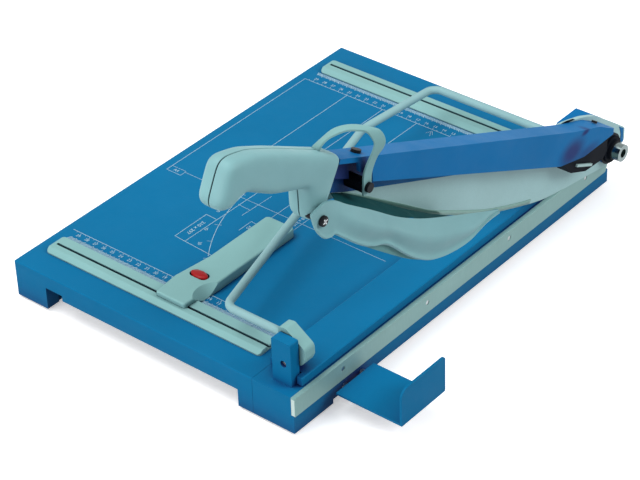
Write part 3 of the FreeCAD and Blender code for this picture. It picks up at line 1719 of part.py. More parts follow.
fillet(
    button, "button_edge",
    lambda edge: near(edge.CenterOfMass.z, "button_top") and near(edge.BoundBox.ZMin, "button_top"),
)
cushion = body("button_spring")
round_pad(
    cushion, "XY", "button_floor + bore_play", "button_bottom - bore_play",
    ("button_x", "button_y"), "button_spring_radius",
)
bore(cushion, "XY", "0", "button_top", ("button_x", "button_y"), "button_spring_bore")

key = body("backstop_key")
pad(
    key, "YZ", "stop_left + key_inset", "stop_right - key_inset",
    [
        ("rail_slot - groove_half + key_play", "groove_bottom + key_lift"),
        ("rail_slot + groove_half - key_play", "groove_bottom + key_lift"),
        ("rail_slot + groove_half - key_play", "groove_top - key_lift"),
        ("rail_slot + slot_half - key_neck_play", "groove_top - key_lift"),
        ("rail_slot + slot_half - key_neck_play", "stop_over_rail"),
        ("rail_slot - slot_half + key_neck_play", "stop_over_rail"),
        ("rail_slot - slot_half + key_neck_play", "groove_top - key_lift"),
        ("rail_slot - groove_half + key_play", "groove_top - key_lift"),
    ],
)

# ---------------------------------------------------------------- strip stop on two rods

side_stop = body("side_stop")
pad(
    side_stop, "YZ", "side_right - side_sheet", "side_right",
    box_outline("side_front", "side_back", "side_bottom", "side_plate_top"),
    rounds("side"),
)
pad(
    side_stop, "XY", "side_bottom", "side_bottom + side_sheet",
    box_outline("side_left", "side_right", "side_front", "carrier_back"),
)

carrier = body("stop_carrier")
pad(
    carrier, "XY", "carrier_bottom", "side_bottom",
    box_outline("carrier_left", "carrier_right", "carrier_front", "carrier_back"),
    rounds("carrier"),
)
for rod_y in ("rod_front", "rod_rear"):
    bore(
        carrier, "YZ", "carrier_left - over", "carrier_right - over",
        (rod_y, "rod_height"), "rod_radius + press_play",
    )
rods = []
for number, rod_y in enumerate(("rod_front", "rod_rear"), 1):
    rods.append(cylinder(
        f"stop_rod{number}", "X", (rod_y, "rod_height"), "rod_left", "carrier_right - rod_end",
        "rod_radius",
    ))
joined("stop_rods", rods)

# ---------------------------------------------------------------- checks and files

doc.recompute()

NODES = [
    "base_table", "bed_rail", "lower_knife", "knife_screws", "front_rail", "back_rail",
    "rail_screws", "rubber_feet", "table_screws", "front_post", "rear_post", "front_pin",
    "rear_pin", "post_screws", "pivot_bolt", "pivot_nut", "pivot_ring", "pivot_bush",
    "pivot_washer",
    "arm_beam", "upper_blade", "blade_bolts", "light_housing", "light_strip", "arm_tang",
    "handle_left", "handle_right", "handle_screws", "blade_guard", "guard_screw", "strap",
    "strap_standoff", "strap_screw", "arm_screw_front", "arm_screw_rear", "front_lever",
    "rear_lever", "clamp_bar", "clamp_plate", "clamp_spring_front", "clamp_spring_rear",
    "backstop_bar", "backstop_button", "button_spring", "backstop_key", "side_stop",
    "stop_carrier", "stop_rods",
]

for item in doc.Objects:
    if "Invalid" in item.State or "Error" in item.State:
        raise RuntimeError(f"{item.Label} is in state {item.State}")

os.makedirs("parts", exist_ok=True)
whole = FreeCAD.BoundBox()
for node in NODES:
    item = doc.getObjectsByLabel(node)[0]
    if item.Shape.isNull() or not item.Shape.isValid():
        raise RuntimeError(f"{node} has no valid shape")
    item.Shape.exportStep(f"parts/{node}.step")
    whole.add(item.Shape.BoundBox)
    print(f"{node}: {len(item.Shape.Solids)} solid, {item.Shape.Volume:.0f} mm3")
print(f"box x {whole.XMin:.3f} {whole.XMax:.3f}")
print(f"box y {whole.YMin:.3f} {whole.YMax:.3f}")
print(f"box z {whole.ZMin:.3f} {whole.ZMax:.3f}")
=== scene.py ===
import json
import math

import bmesh
import bpy
import numpy as np
from mathutils import Matrix, Vector

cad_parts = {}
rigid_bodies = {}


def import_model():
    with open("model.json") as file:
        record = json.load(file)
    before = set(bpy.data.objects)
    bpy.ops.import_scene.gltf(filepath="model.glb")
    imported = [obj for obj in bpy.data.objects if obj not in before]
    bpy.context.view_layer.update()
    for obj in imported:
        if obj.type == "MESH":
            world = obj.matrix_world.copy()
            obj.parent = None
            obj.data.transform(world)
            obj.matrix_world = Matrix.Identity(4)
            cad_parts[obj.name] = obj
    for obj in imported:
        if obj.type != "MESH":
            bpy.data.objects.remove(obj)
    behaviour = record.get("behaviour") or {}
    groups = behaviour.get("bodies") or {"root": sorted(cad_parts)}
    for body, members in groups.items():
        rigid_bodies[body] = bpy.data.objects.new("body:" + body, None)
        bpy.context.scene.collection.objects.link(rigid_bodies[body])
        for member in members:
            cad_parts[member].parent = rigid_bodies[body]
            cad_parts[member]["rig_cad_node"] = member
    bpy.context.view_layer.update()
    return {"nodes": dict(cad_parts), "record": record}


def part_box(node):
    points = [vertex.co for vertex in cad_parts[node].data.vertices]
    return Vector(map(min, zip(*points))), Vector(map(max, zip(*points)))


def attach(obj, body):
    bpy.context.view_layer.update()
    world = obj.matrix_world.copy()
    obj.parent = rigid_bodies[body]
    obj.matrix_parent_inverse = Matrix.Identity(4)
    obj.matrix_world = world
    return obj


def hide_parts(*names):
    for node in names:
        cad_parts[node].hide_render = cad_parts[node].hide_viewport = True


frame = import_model()
NODES = frame["nodes"]

# The CAD's layout has its origin at the table's front left corner, and the row frame has it
# under the middle of the object.  Lengths here are layout millimetres until `at` or LAYOUT
# turns them into the frame's metres.
MM = 0.001
STOP_RIGHT = 381.0
LAYOUT_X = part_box("side_stop")[1].x / MM - STOP_RIGHT
LAYOUT_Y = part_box("bed_rail")[0].y / MM
TABLE_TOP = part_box("base_table")[1].z / MM
KNIFE_FACE = 308.8
BLADE_FACE = 312.9


def at(x, y, z):
    """A layout place in millimetres as a point of the frame in metres."""
    return Vector(((x + LAYOUT_X) * MM, (y + LAYOUT_Y) * MM, z * MM))


LAYOUT = Matrix.Translation(at(0, 0, 0)) @ Matrix.Scale(MM, 4)


# ------------------------------------------------------------------------------- node trees

# Spans of a noise texture's values: nearly all of them, its peaks, and its larger patches.
BULK = (0.3, 0.7)
PEAKS = (0.3, 0.75)
PATCHES = (0.35, 0.7)
FULL = (0.0, 1.0)
# Painted corner shade: the span of occlusion over which it comes in, and the samples that find it.
CORNER_SHADE_SPAN = (0.25, 0.85)
CORNER_SHADE_SAMPLES = 4
ENAMEL_SPECULAR = 0.07


class Tree:
    """A short way to write a node tree."""

    def __init__(self, tree):
        self.tree = tree

    def add(self, kind, inputs=(), **settings):
        """A node whose inputs are plain values or other nodes' outputs."""
        node = self.tree.nodes.new(kind)
        for key, value in settings.items():
            setattr(node, key, value)
        for key, value in dict(inputs).items():
            if isinstance(value, bpy.types.NodeSocket):
                self.tree.links.new(value, node.inputs[key])
            else:
                node.inputs[key].default_value = value
        return node

    def ramp(self, value, span, values, **settings):
        """A value, carried over from a span to the span between two new values."""
        inputs = {
            "Value": value, "From Min": span[0], "From Max": span[1],
            "To Min": values[0], "To Max": values[1],
        }
        return self.add("ShaderNodeMapRange", inputs, **settings).outputs["Result"]

    def mix(self, factor, first, second):
        """A colour between two, each of them a plain one or another node's output."""
        ends = [c if isinstance(c, bpy.types.NodeSocket) else (*c, 1) for c in (first, second)]
        inputs = {"Factor": factor, "A": ends[0], "B": ends[1]}
        return self.add("ShaderNodeMix", inputs, data_type="RGBA").outputs["Result"]

    def background_ray(self):
        """1 on each ray that shows the background: a direct, a mirrored or a refracted one."""
        rays = self.add("ShaderNodeLightPath").outputs
        seen = rays["Is Camera Ray"]
        for kind in ("Is Glossy Ray", "Is Transmission Ray"):
            larger = self.add("ShaderNodeMath", {0: seen, 1: rays[kind]}, operation="MAXIMUM")
            seen = larger.outputs[0]
        return seen


class Finish(Tree):
    """A material with the parts that the finishes below are made of."""

    def __init__(self, name):
        self.material = bpy.data.materials.new(name)
        self.material.use_nodes = True
        super().__init__(self.material.node_tree)
        self.shader = self.tree.nodes["Principled BSDF"]
        self.place = self.add("ShaderNodeTexCoord").outputs["Object"]

    def link(self, output, key):
        self.tree.links.new(output, self.shader.inputs[key])

    def scaled(self, factors):
        """Object coordinates in metres, stretched by a factor along each axis."""
        return self.add("ShaderNodeMapping", {"Vector": self.place, "Scale": factors}).outputs["Vector"]

    def noise(self, scale, detail, roughness=0.5, vector=None):
        inputs = {
            "Vector": vector or self.place, "Scale": scale, "Detail": detail, "Roughness": roughness,
        }
        return self.add("ShaderNodeTexNoise", inputs).outputs["Fac"]

    def corners(self, body, painted_shade, reach):
        """Painted shade: the body's colour, going over to a darker shade colour where surfaces face
        each other closely.
        """
        near = self.add("ShaderNodeAmbientOcclusion", {"Distance": reach}, samples=CORNER_SHADE_SAMPLES)
        return self.mix(self.ramp(near.outputs["AO"], CORNER_SHADE_SPAN, (1, 0)), body, painted_shade)

    def bump(self, height, distance, strength=1.0, after=None):
        """A bump by a height, laid over an earlier bump if one is given."""
        inputs = {"Height": height, "Distance": distance, "Strength": strength}
        if after:
            inputs["Normal"] = after
        return self.add("ShaderNodeBump", inputs).outputs["Normal"]


# ------------------------------------------------------------------------------- materials


def linear(red, green, blue):
    """A screen colour from 0 to 255 as linear light."""
    return tuple(
        c / 12.92 if c <= 0.04045 else ((c + 0.055) / 1.055) ** 2.4
        for c in (red / 255, green / 255, blue / 255)
    )


def shade(colour, factor):
    return tuple(min(1.0, c * factor) for c in colour)


def enamel(name, colour, painted_shade, reach, roughness=0.5, grain=0.00006, spread=0.05):
    """Sprayed enamel: slight clouding, orange peel, dulled patches, and painted shade in its corners.
    """
    m = Finish(name)
    cloud = m.ramp(m.noise(scale=14.0, detail=4.0, roughness=0.6), BULK, FULL)
    body = m.mix(cloud, shade(colour, 1 - spread), shade(colour, 1 + spread))
    # painted shade: the colour goes over to the shade colour where surfaces are close
    m.link(m.corners(body, painted_shade, reach), "Base Color")
    dull = m.noise(scale=40.0, detail=5.0, roughness=0.65)
    m.link(m.ramp(dull, PEAKS, (roughness - 0.05, roughness + 0.08)), "Roughness")
    fine = m.bump(m.noise(scale=900.0, detail=2.0, roughness=0.4), grain)
    peel = m.noise(scale=140.0, detail=3.0)
    m.link(m.bump(peel, grain, strength=0.6, after=fine), "Normal")
    m.shader.inputs["Specular IOR Level"].default_value = ENAMEL_SPECULAR
    return m.material


def ground_steel(name, colour, metal, along, roughness=0.5):
    """Ground steel: fine streaks, faint oil stains and uneven gloss."""
    m = Finish(name)
    lines = m.noise(scale=1.0, detail=4.0, roughness=0.7, vector=m.scaled(along))
    stain = m.ramp(m.noise(scale=18.0, detail=5.0, roughness=0.6), PATCHES, FULL)
    body = m.mix(stain, shade(colour, 0.93), shade(colour, 1.04))
    m.link(m.mix(m.ramp(lines, BULK, (0.0, 0.35)), body, shade(colour, 0.82)), "Base Color")
    m.link(m.ramp(lines, PEAKS, (roughness - 0.06, roughness + 0.1)), "Roughness")
    m.link(m.bump(lines, 0.00003, strength=0.8), "Normal")
    m.shader.inputs["Metallic"].default_value = metal
    return m.material


def moulded(name, colour, roughness=0.5, grain=0.00005, scale=1300.0, specular=0.2):
    """Moulded plastic: a fine pebble grain with slightly uneven gloss and colour."""
    m = Finish(name)
    inputs = {"Vector": m.place, "Scale": scale}
    pebble = m.add("ShaderNodeTexVoronoi", inputs, feature="SMOOTH_F1").outputs["Distance"]
    cloud = m.ramp(m.noise(scale=22.0, detail=4.0, roughness=0.6), BULK, FULL)
    m.link(m.mix(cloud, shade(colour, 0.95), shade(colour, 1.05)), "Base Color")
    gloss = m.noise(scale=60.0, detail=4.0, roughness=0.6)
    m.link(m.ramp(gloss, BULK, (roughness - 0.05, roughness + 0.07)), "Roughness")
    m.link(m.bump(pebble, grain, strength=0.7), "Normal")
    m.shader.inputs["Specular IOR Level"].default_value = specular
    return m.material


def plated(name, colour, roughness):
    """Plated metal: cloudy plating, uneven gloss and a fine grain."""
    m = Finish(name)
    cloud = m.ramp(m.noise(scale=120.0, detail=4.0, roughness=0.6), PATCHES, FULL)
    m.link(m.mix(cloud, shade(colour, 0.88), colour), "Base Color")
    gloss = m.noise(scale=400.0, detail=3.0)
    m.link(m.ramp(gloss, BULK, (roughness * 0.8, roughness * 1.3)), "Roughness")
    m.link(m.bump(m.noise(scale=700.0, detail=2.0, roughness=0.4), 0.00002, strength=0.5), "Normal")
    m.shader.inputs["Metallic"].default_value = 1.0
    return m.material


def printed(name, colour):
    """Screen-printed ink, thin in places."""
    m = Finish(name)
    wear = m.noise(scale=260.0, detail=4.0, roughness=0.7)
    m.link(m.mix(m.ramp(wear, (0.3, 0.6), FULL), shade(colour, 0.72), colour), "Base Color")
    m.link(m.ramp(wear, BULK, (0.5, 0.65)), "Roughness")
    return m.material


# Navy: the dark colour of painted shade on the blue enamels and around the arm's hub.
SHADE_NAVY = linear(22, 32, 92)
TABLE_BLUE = linear(4, 108, 153)
ARM_BLUE = linear(4, 106, 163)
GREY_GREEN = linear(132, 176, 174)
# Slate: the dark colour of painted shade on the grey-green enamel.
SHADE_SLATE = linear(40, 70, 84)

MATERIALS = {
    "table_blue": enamel("table_enamel", TABLE_BLUE, SHADE_NAVY, reach=0.03, grain=0.00005, spread=0.04),
    "arm_blue": enamel("arm_enamel", ARM_BLUE, SHADE_NAVY, reach=0.03),
    "knife_steel": ground_steel(
        "ground_blade", linear(134, 172, 168), metal=0.2, along=(300, 2500, 120)
    ),
    "grey_green_enamel": enamel(
        "grey_green_enamel", GREY_GREEN, SHADE_SLATE, reach=0.01, grain=0.00007
    ),
    "grip_plastic": moulded("grip_plastic", linear(127, 172, 174)),
    "zinc_steel": plated("zinc_plating", (0.50, 0.53, 0.54), roughness=0.32),
    # painted reflection: the chrome's base colour is kept dark to stand in for the dark surroundings
    # that the bolt mirrors
    "chrome_steel": plated("bright_chrome", (0.20, 0.25, 0.25), roughness=0.2),
    "black_plastic": moulded(
        "black_plastic", (0.006, 0.008, 0.012), scale=1100.0, specular=0.02
    ),
    "black_rubber": moulded(
        "black_rubber", (0.012, 0.012, 0.012), roughness=0.75, grain=0.0001, scale=700.0
    ),
    "red_plastic": moulded(
        "red_button_plastic", linear(150, 6, 12), roughness=0.34, grain=0.00001, scale=500.0
    ),
    "lens_plastic": moulded(
        "lens_plastic", linear(160, 190, 188), roughness=0.4, grain=0.00002, scale=800.0,
        specular=0.3,
    ),
}
OXIDE = moulded(
    "dark_oxide", (0.010, 0.012, 0.015), roughness=0.45, grain=0.00003, scale=900.0, specular=0.08
)
BRIGHT_STEEL = ground_steel("ground_end", linear(206, 226, 218), metal=0.0, along=(900, 900, 900))
BEVEL_STEEL = ground_steel(
    "ground_bevel", linear(112, 154, 144), metal=0.4, along=(200, 1800, 200), roughness=0.34
)
# A darker copy of the grip plastic: painted shade for the guard's inner skin, which lies in shadow.
SHADED_GRIP = moulded("shaded_grip", linear(96, 146, 144), roughness=0.55, specular=0.15)
# A dark copy of the grip plastic: painted shade for the shadowed gap between blade and shield.
SKIRT_SHADE = moulded("skirt_painted_shade", linear(18, 72, 74), roughness=0.6, specular=0.1)
WHITE_INK = printed("white_ink", linear(176, 206, 216))


def dress(piece, slot_name, material=None):
    """Gives a piece its material: the given one, or else the one for the record's slot that it comes
    from.
    """
    piece.data.materials.clear()
    piece.data.materials.append(material or MATERIALS[slot_name])
    return piece


# ------------------------------------------------------------------------ help with meshes

WELD_REACH = 0.000004
MOULDED_ANGLE = 50.0
FOLDED_ANGLE = 28.0


def piece_from(name, build, body, slot_name, material=None, smooth=True, place=LAYOUT):
    """A new mesh piece from a bmesh in millimetres, set into the frame by a matrix."""
    mesh = bpy.data.meshes.new(name)
    build.normal_update()
    build.to_mesh(mesh)
    build.free()
    mesh.transform(place)
    return piece_of(name, mesh, body, slot_name, material, smooth)


def piece_of(name, mesh, body, slot_name, material=None, smooth=True):
    """A new piece from a mesh that is already in the frame."""
    for polygon in mesh.polygons:
        polygon.use_smooth = smooth
    piece = bpy.data.objects.new(name, mesh)
    bpy.context.scene.collection.objects.link(piece)
    dress(piece, slot_name, material)
    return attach(piece, body)


def thicken(piece, thickness, offset=0.0):
    """Gives a sheet its thickness, to both sides alike unless an offset says otherwise."""
    shell = piece.modifiers.new("shell", "SOLIDIFY")
    shell.thickness = thickness * MM
    shell.offset = offset


def round_edges(piece, width, segments, angle):
    """Rounds the edges that turn by more than an angle."""
    bevel = piece.modifiers.new("edge", "BEVEL")
    bevel.width = width * MM
    bevel.segments = segments
    bevel.limit_method = "ANGLE"
    bevel.angle_limit = math.radians(angle)
    return bevel


def soften(piece, width, segments=3):
    """Rounds a piece's edges with modifiers and shades it smooth."""
    round_edges(piece, width, segments, FOLDED_ANGLE).harden_normals = True
    for polygon in piece.data.polygons:
        polygon.use_smooth = True
    piece.modifiers.new("weigh", "WEIGHTED_NORMAL").keep_sharp = True


def curve_through(points, steps):
    """Points along a Catmull-Rom curve through the given ones, the ends included."""
    given = [Vector(p) for p in points]
    ends = [given[0] * 2 - given[1]] + given + [given[-1] * 2 - given[-2]]
    lengths = [0.0]
    for a, b in zip(given, given[1:]):
        lengths.append(lengths[-1] + (b - a).length)
    found = []
    for k in range(steps):
        along = lengths[-1] * k / (steps - 1)
        i = max(j for j in range(len(given) - 1) if lengths[j] <= along + 1e-9)
        t = (along - lengths[i]) / (lengths[i + 1] - lengths[i])
        p0, p1, p2, p3 = ends[i:i + 4]
        found.append(0.5 * (
            2 * p1 + (p2 - p0) * t + (2 * p0 - 5 * p1 + 4 * p2 - p3) * t ** 2
            + (3 * p1 - p0 - 3 * p2 + p3) * t ** 3
        ))
    return found


def profile_curve(profile, steps, x=0.0):
    """A curve at one x through points given as (y, z)."""
    return curve_through([(x, *p) for p in profile], steps)


def grid(build, rows):
    """Faces between rows of equally many points."""
    made = [[build.verts.new(p) for p in row] for row in rows]
    for low, high in zip(made, made[1:]):
        for i in range(len(low) - 1):
            build.faces.new((low[i], low[i + 1], high[i + 1], high[i]))


def stacked(build, rings):
    """A closed body through rings of equally many points."""
    made = [[build.verts.new(p) for p in ring] for ring in rings]
    for low, high in zip(made, made[1:]):
        for k in range(len(low)):
            ahead = (k + 1) % len(low)
            build.faces.new((low[k], low[ahead], high[ahead], high[k]))
    build.faces.new(list(reversed(made[0])))
    build.faces.new(made[-1])


def step(span, value):
    """0 below the span, 1 above it, and smooth between."""
    t = min(1.0, max(0.0, (value - span[0]) / (span[1] - span[0])))
    return t * t * (3 - 2 * t)


# ------------------------------------------------------------------ printing on the table

PRINT_LIFT = 0.05
LINE = 0.46
FINE_LINE = 0.34
PRINT_RIGHT = 252.0
FRONT_BASE = 63.4
BACK_BASE = 374.2

# The rulers' numbers and marks that lie on the table, counted from the knife.
CENTIMETRES = range(6, 30)
HALF_CENTIMETRES = range(12, 60)
MILLIMETRES = range(58, 297)
NUMBER_SIZE = 4.4
LONG_MARK = 2.6
SHORT_MARK = 1.6
TICK_SLANT = 1.8
# A tick's length goes by the first of these steps that it falls on.
TICK_LENGTHS = ((10, 5.2), (5, 4.6), (1, 4.0))
# Each ruler's numbers, base line and slanted ticks along the depth, and the side it opens to.
RULERS = ((58.6, FRONT_BASE, 50.2, 1), (379.6, BACK_BASE, 390.3, -1))

# The front left corner of each sheet frame, and the sheet's format.
SHEET_CORNERS = ((60, 226, ""), (102, 272, "A5"), (141.5, 312, "B6"), (182, 330, "A6"))
SHEET_NAME_PLACE = (6.5, 4.5)
SHEET_NAME_SIZE = 4.2

# The angle scale's arc and the marks across it, in millimetres and degrees.
ANGLE_CENTRE = (286.0, 221.7)
ANGLE_RADIUS = 197.6
ANGLE_SPAN = (172.5, 216.8)
ANGLE_STEPS = 40
ANGLE_FIRST_MARK = 174.5
ANGLE_MARK_PITCH = 7.2
ANGLE_MARKS = 7
ANGLE_MARK_INNER = (2.4, 0.6)
ANGLE_MARK_OUTER = 4.2

PATHS = (
    ((8.5, FRONT_BASE), (PRINT_RIGHT, FRONT_BASE)),
    ((9.5, 181), (9.5, BACK_BASE), (PRINT_RIGHT, BACK_BASE)),
    ((85.2, 149), (85.2, 108.6), (133, 105.4)),
    ((85.2, 149), (97, 148.4)),
    ((97.3, 108.6), (98.9, 204)),
)
FINE_PATHS = (
    ((26, 187), (PRINT_RIGHT, 187)),
    ((9.5, 181), (26, 181), (26, 188.5), (9.5, 188.5)),
    ((111, 166), (112.5, 204)),
    ((97.2, 177.2), (112, 176.4)),
    ((123.5, 147.5), (123.5, 164), (129, 163.6)),
    ((133.6, 170), (134.8, 312)),
    ((152, 176), (152, 200)),
    ((161, 176), (161, 200)),
    ((164, 364), (160.8, 370)),
    ((158, 366), (160.8, 372), (165, 367)),
)
# Plain words: what they say, their middle, their height and their turn in degrees.
WORDS = (
    ("A4", (17.6, 184.7), 4.6, 0),
    ("30", (109.5, 113), 4.4, -60),
    ("20", (99.5, 132.5), 4.4, -60),
    ("10", (89.6, 159.5), 4.4, -60),
    ("210 x 297", (91.2, 128.5), 5.4, -90),
    ("A5", (127.4, 156), 4.2, -90),
    ("148 x 210", (156.4, 190), 4.6, -90),
)


class Print:
    """Flat white lines, numbers and words that lie on the table top."""

    def __init__(self):
        self.build = bmesh.new()
        self.height = TABLE_TOP + PRINT_LIFT

    def path(self, *points, width=LINE):
        for a, b in zip(points, points[1:]):
            start, end = Vector((*a, self.height)), Vector((*b, self.height))
            side = (end - start).normalized().cross(Vector((0, 0, 1))) * width / 2
            corners = (start - side, start + side, end + side, end - side)
            self.build.faces.new([self.build.verts.new(p) for p in corners])

    def words(self, text, place, size, turn=0.0):
        """Plain lettering, centred on a place, turned about the vertical by degrees."""
        font = bpy.data.curves.new("letters", "FONT")
        font.body = text
        font.size = size
        font.align_x = "CENTER"
        font.align_y = "CENTER"
        font.resolution_u = 3
        holder = bpy.data.objects.new("letters", font)
        mesh = bpy.data.meshes.new_from_object(holder)
        turned = Matrix.Rotation(math.radians(turn), 4, "Z")
        mesh.transform(Matrix.Translation((*place, self.height)) @ turned)
        self.build.from_mesh(mesh)
        bpy.data.objects.remove(holder)
        bpy.data.curves.remove(font)
        bpy.data.meshes.remove(mesh)


def ruler(ink, numbers_y, base_y, ticks_y, side):
    """A rule counted from the knife's cutting face towards the left."""
    for number in CENTIMETRES:
        ink.words(str(number), (KNIFE_FACE - number * 10, numbers_y), NUMBER_SIZE)
    for half in HALF_CENTIMETRES:
        x = KNIFE_FACE - half * 5
        mark = SHORT_MARK if half % 2 else LONG_MARK
        ink.path((x, base_y), (x, base_y - side * mark), width=FINE_LINE)
    for millimetre in MILLIMETRES:
        x = KNIFE_FACE - millimetre
        length = next(size for unit, size in TICK_LENGTHS if millimetre % unit == 0)
        ink.path((x, ticks_y), (x + TICK_SLANT, ticks_y + side * length))


def on_angle(radius, degrees):
    """A place around the angle scale's centre."""
    turn = math.radians(degrees)
    return ANGLE_CENTRE[0] + radius * math.cos(turn), ANGLE_CENTRE[1] + radius * math.sin(turn)


def angle_scale(ink):
    """An arc about a point near the knife, with marks across it."""
    first, last = ANGLE_SPAN
    turns = [first + (last - first) * k / ANGLE_STEPS for k in range(ANGLE_STEPS + 1)]
    ink.path(*[on_angle(ANGLE_RADIUS, turn) for turn in turns])
    for count in range(ANGLE_MARKS):
        turn = ANGLE_FIRST_MARK + ANGLE_MARK_PITCH * count
        inner = on_angle(ANGLE_RADIUS - ANGLE_MARK_INNER[count % 2], turn)
        ink.path(inner, on_angle(ANGLE_RADIUS + ANGLE_MARK_OUTER, turn), width=FINE_LINE)


def table_print():
    """The rulers, the frames for common sheets and the angle scale."""
    ink = Print()
    for lines in RULERS:
        ruler(ink, *lines)
    for path in PATHS:
        ink.path(*path)
    for path in FINE_PATHS:
        ink.path(*path, width=FINE_LINE)
    for x, y, name in SHEET_CORNERS:
        ink.path((x, y), (x, BACK_BASE))
        if name:
            ink.path((x, y), (PRINT_RIGHT, y), width=FINE_LINE)
            ink.words(name, (x + SHEET_NAME_PLACE[0], y + SHEET_NAME_PLACE[1]), SHEET_NAME_SIZE)
    angle_scale(ink)
    for word in WORDS:
        ink.words(*word)
    piece_from("table_print", ink.build, "base", "table_blue", WHITE_INK, False)


# ------------------------------------------------------------------------------ the grip

SEAM_X = 322.55
SEAM_HALF = 0.6
# The grip's end that meets the arm, as two places in (y, z).
GRIP_END = ((13.2, 212.8), (37.0, 253.2))
SKIN_GROWTH = 0.3
VOXEL = 1.2
RELAX_ROUNDS = 46
RELAX_STRENGTH = 0.5
# How deep the end that meets the arm stays crisp, and how far on it goes over to round.
CRISP_DEPTH = 0.8
CRISP_FADE = 4.0
CRISP_POWER = 1.5
PARTING_EDGE = 0.45
# How far the black sheet of painted seam shade lies below the grip's surface.
SEAM_SHADE_SINK = 0.7


def relaxed(mesh, free):
    """Moves each point towards its neighbours' middle, as far as free(point) allows."""
    count = len(mesh.vertices)
    place = np.zeros(count * 3)
    mesh.vertices.foreach_get("co", place)
    place = place.reshape(-1, 3)
    ends = np.zeros(len(mesh.edges) * 2, np.int64)
    mesh.edges.foreach_get("vertices", ends)
    first, second = ends[0::2], ends[1::2]
    degree = np.bincount(first, minlength=count) + np.bincount(second, minlength=count)
    hold = free(place) * RELAX_STRENGTH
    for _ in range(RELAX_ROUNDS):
        total = np.zeros_like(place)
        for axis in range(3):
            total[:, axis] = (
                np.bincount(first, place[second, axis], count)
                + np.bincount(second, place[first, axis], count)
            )
        place = place + (total / degree[:, None] - place) * hold[:, None]
    mesh.vertices.foreach_set("co", place.ravel())
    mesh.update()


def crisp_at_arm(place):
    """How far points may move: not at all near the end that meets the arm."""
    low, high = at(0, *GRIP_END[0]), at(0, *GRIP_END[1])
    along = (high - low).normalized()
    outward = np.array((0.0, along.z, -along.y))
    depth = -(place - np.array(low)) @ outward / MM
    return np.clip((depth - CRISP_DEPTH) / CRISP_FADE, 0, 1) ** CRISP_POWER


def grip_skin():
    """Both halves of the grip, rounded off together as one hand-shaped body."""
    build = bmesh.new()
    for node in ("handle_left", "handle_right"):
        build.from_mesh(NODES[node].data)
    bmesh.ops.remove_doubles(build, verts=build.verts, dist=WELD_REACH)
    solid = bpy.data.meshes.new("grip_solid")
    build.to_mesh(solid)
    build.free()
    holder = bpy.data.objects.new("grip_solid", solid)
    bpy.context.scene.collection.objects.link(holder)
    # growing both halves closes the parting gap before the voxels are laid
    grow = holder.modifiers.new("grow", "DISPLACE")
    grow.mid_level = 0.0
    grow.strength = SKIN_GROWTH * MM
    voxels = holder.modifiers.new("voxels", "REMESH")
    voxels.mode = "VOXEL"
    voxels.voxel_size = VOXEL * MM
    voxels.use_smooth_shade = True
    bpy.context.view_layer.update()
    graph = bpy.context.evaluated_depsgraph_get()
    skin = bpy.data.meshes.new_from_object(holder.evaluated_get(graph))
    bpy.data.objects.remove(holder)
    relaxed(skin, crisp_at_arm)
    return skin


def part_at(build, x, keep_left):
    """Cuts a bmesh at a layout x and keeps what lies to one side of it."""
    bmesh.ops.bisect_plane(
        build, geom=build.verts[:] + build.edges[:] + build.faces[:],
        plane_co=at(x, 0, 0), plane_no=(1, 0, 0),
        clear_outer=keep_left, clear_inner=not keep_left,
    )


def grip_half(skin, name, node, x, keep_left):
    """One half of the grip, its parting edge slightly rounded."""
    half = bmesh.new()
    half.from_mesh(skin)
    part_at(half, x, keep_left)
    rim = [e for e in half.edges if e.is_boundary]
    bmesh.ops.holes_fill(half, edges=rim, sides=0)
    mesh = bpy.data.meshes.new(name)
    half.to_mesh(mesh)
    half.free()
    piece = piece_of(name, mesh, "arm", "grip_plastic")
    round_edges(piece, PARTING_EDGE, 2, MOULDED_ANGLE)
    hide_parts(node)


def grip_gasket(skin):
    """The dark line in the parting gap: a thin black sheet between the halves, which stands in for the
    shade in the gap.
    """
    core = bmesh.new()
    core.from_mesh(skin)
    part_at(core, SEAM_X - SEAM_HALF, False)
    part_at(core, SEAM_X + SEAM_HALF, True)
    core.normal_update()
    for vert in core.verts:
        vert.co -= vert.normal * SEAM_SHADE_SINK * MM
    mesh = bpy.data.meshes.new("grip_gasket")
    core.to_mesh(mesh)
    core.free()
    piece_of("grip_gasket", mesh, "arm", "black_plastic")


def grip():
    """The grip's two halves and the black sheet of painted shade between them."""
    skin = grip_skin()
    grip_half(skin, "grip_left", "handle_left", SEAM_X - SEAM_HALF, True)
    grip_half(skin, "grip_right", "handle_right", SEAM_X + SEAM_HALF, False)
    grip_gasket(skin)
    bpy.data.meshes.remove(skin)


# ------------------------------------------------------------------------- finger guard

# The outlines are places in (y, z), from the guard's front end to its rear.
GUARD_LOW = [
    (-8.6, 226.6), (-6.0, 217.8), (-1.9, 209.3), (4.6, 201.8), (11.4, 199.8), (15.0, 200.4),
    (24.5, 192.0), (36.9, 180.6), (49.0, 171.0), (60.4, 164.6), (68.5, 161.6), (76.5, 156.6),
    (84.6, 148.9), (96.8, 136.5), (109.3, 125.4), (126.3, 113.8), (141.4, 107.6), (156.8, 104.0),
    (172.0, 102.2), (186.0, 102.6), (203.0, 106.0), (222.0, 106.4),
]
GUARD_HIGH = [
    (-8.3, 228.7), (-0.9, 230.3), (6.5, 231.2), (12.7, 229.2), (20.1, 225.4), (34.1, 214.2),
    (63.1, 193.0), (93.1, 170.4), (124.2, 151.6), (156.5, 135.9), (189.7, 120.9), (222.5, 107.2),
]
GUARD_BACK = 339.3
GUARD_FACE = GUARD_BACK + 2.2
SHIELD_ACROSS = 110
SHIELD_DOWN = 26
SHIELD_THICKNESS = 2.0
SHIELD_EDGE = 0.7
SWELL_START = (0.05, 0.30)
SWELL_END = (0.82, 1.0)
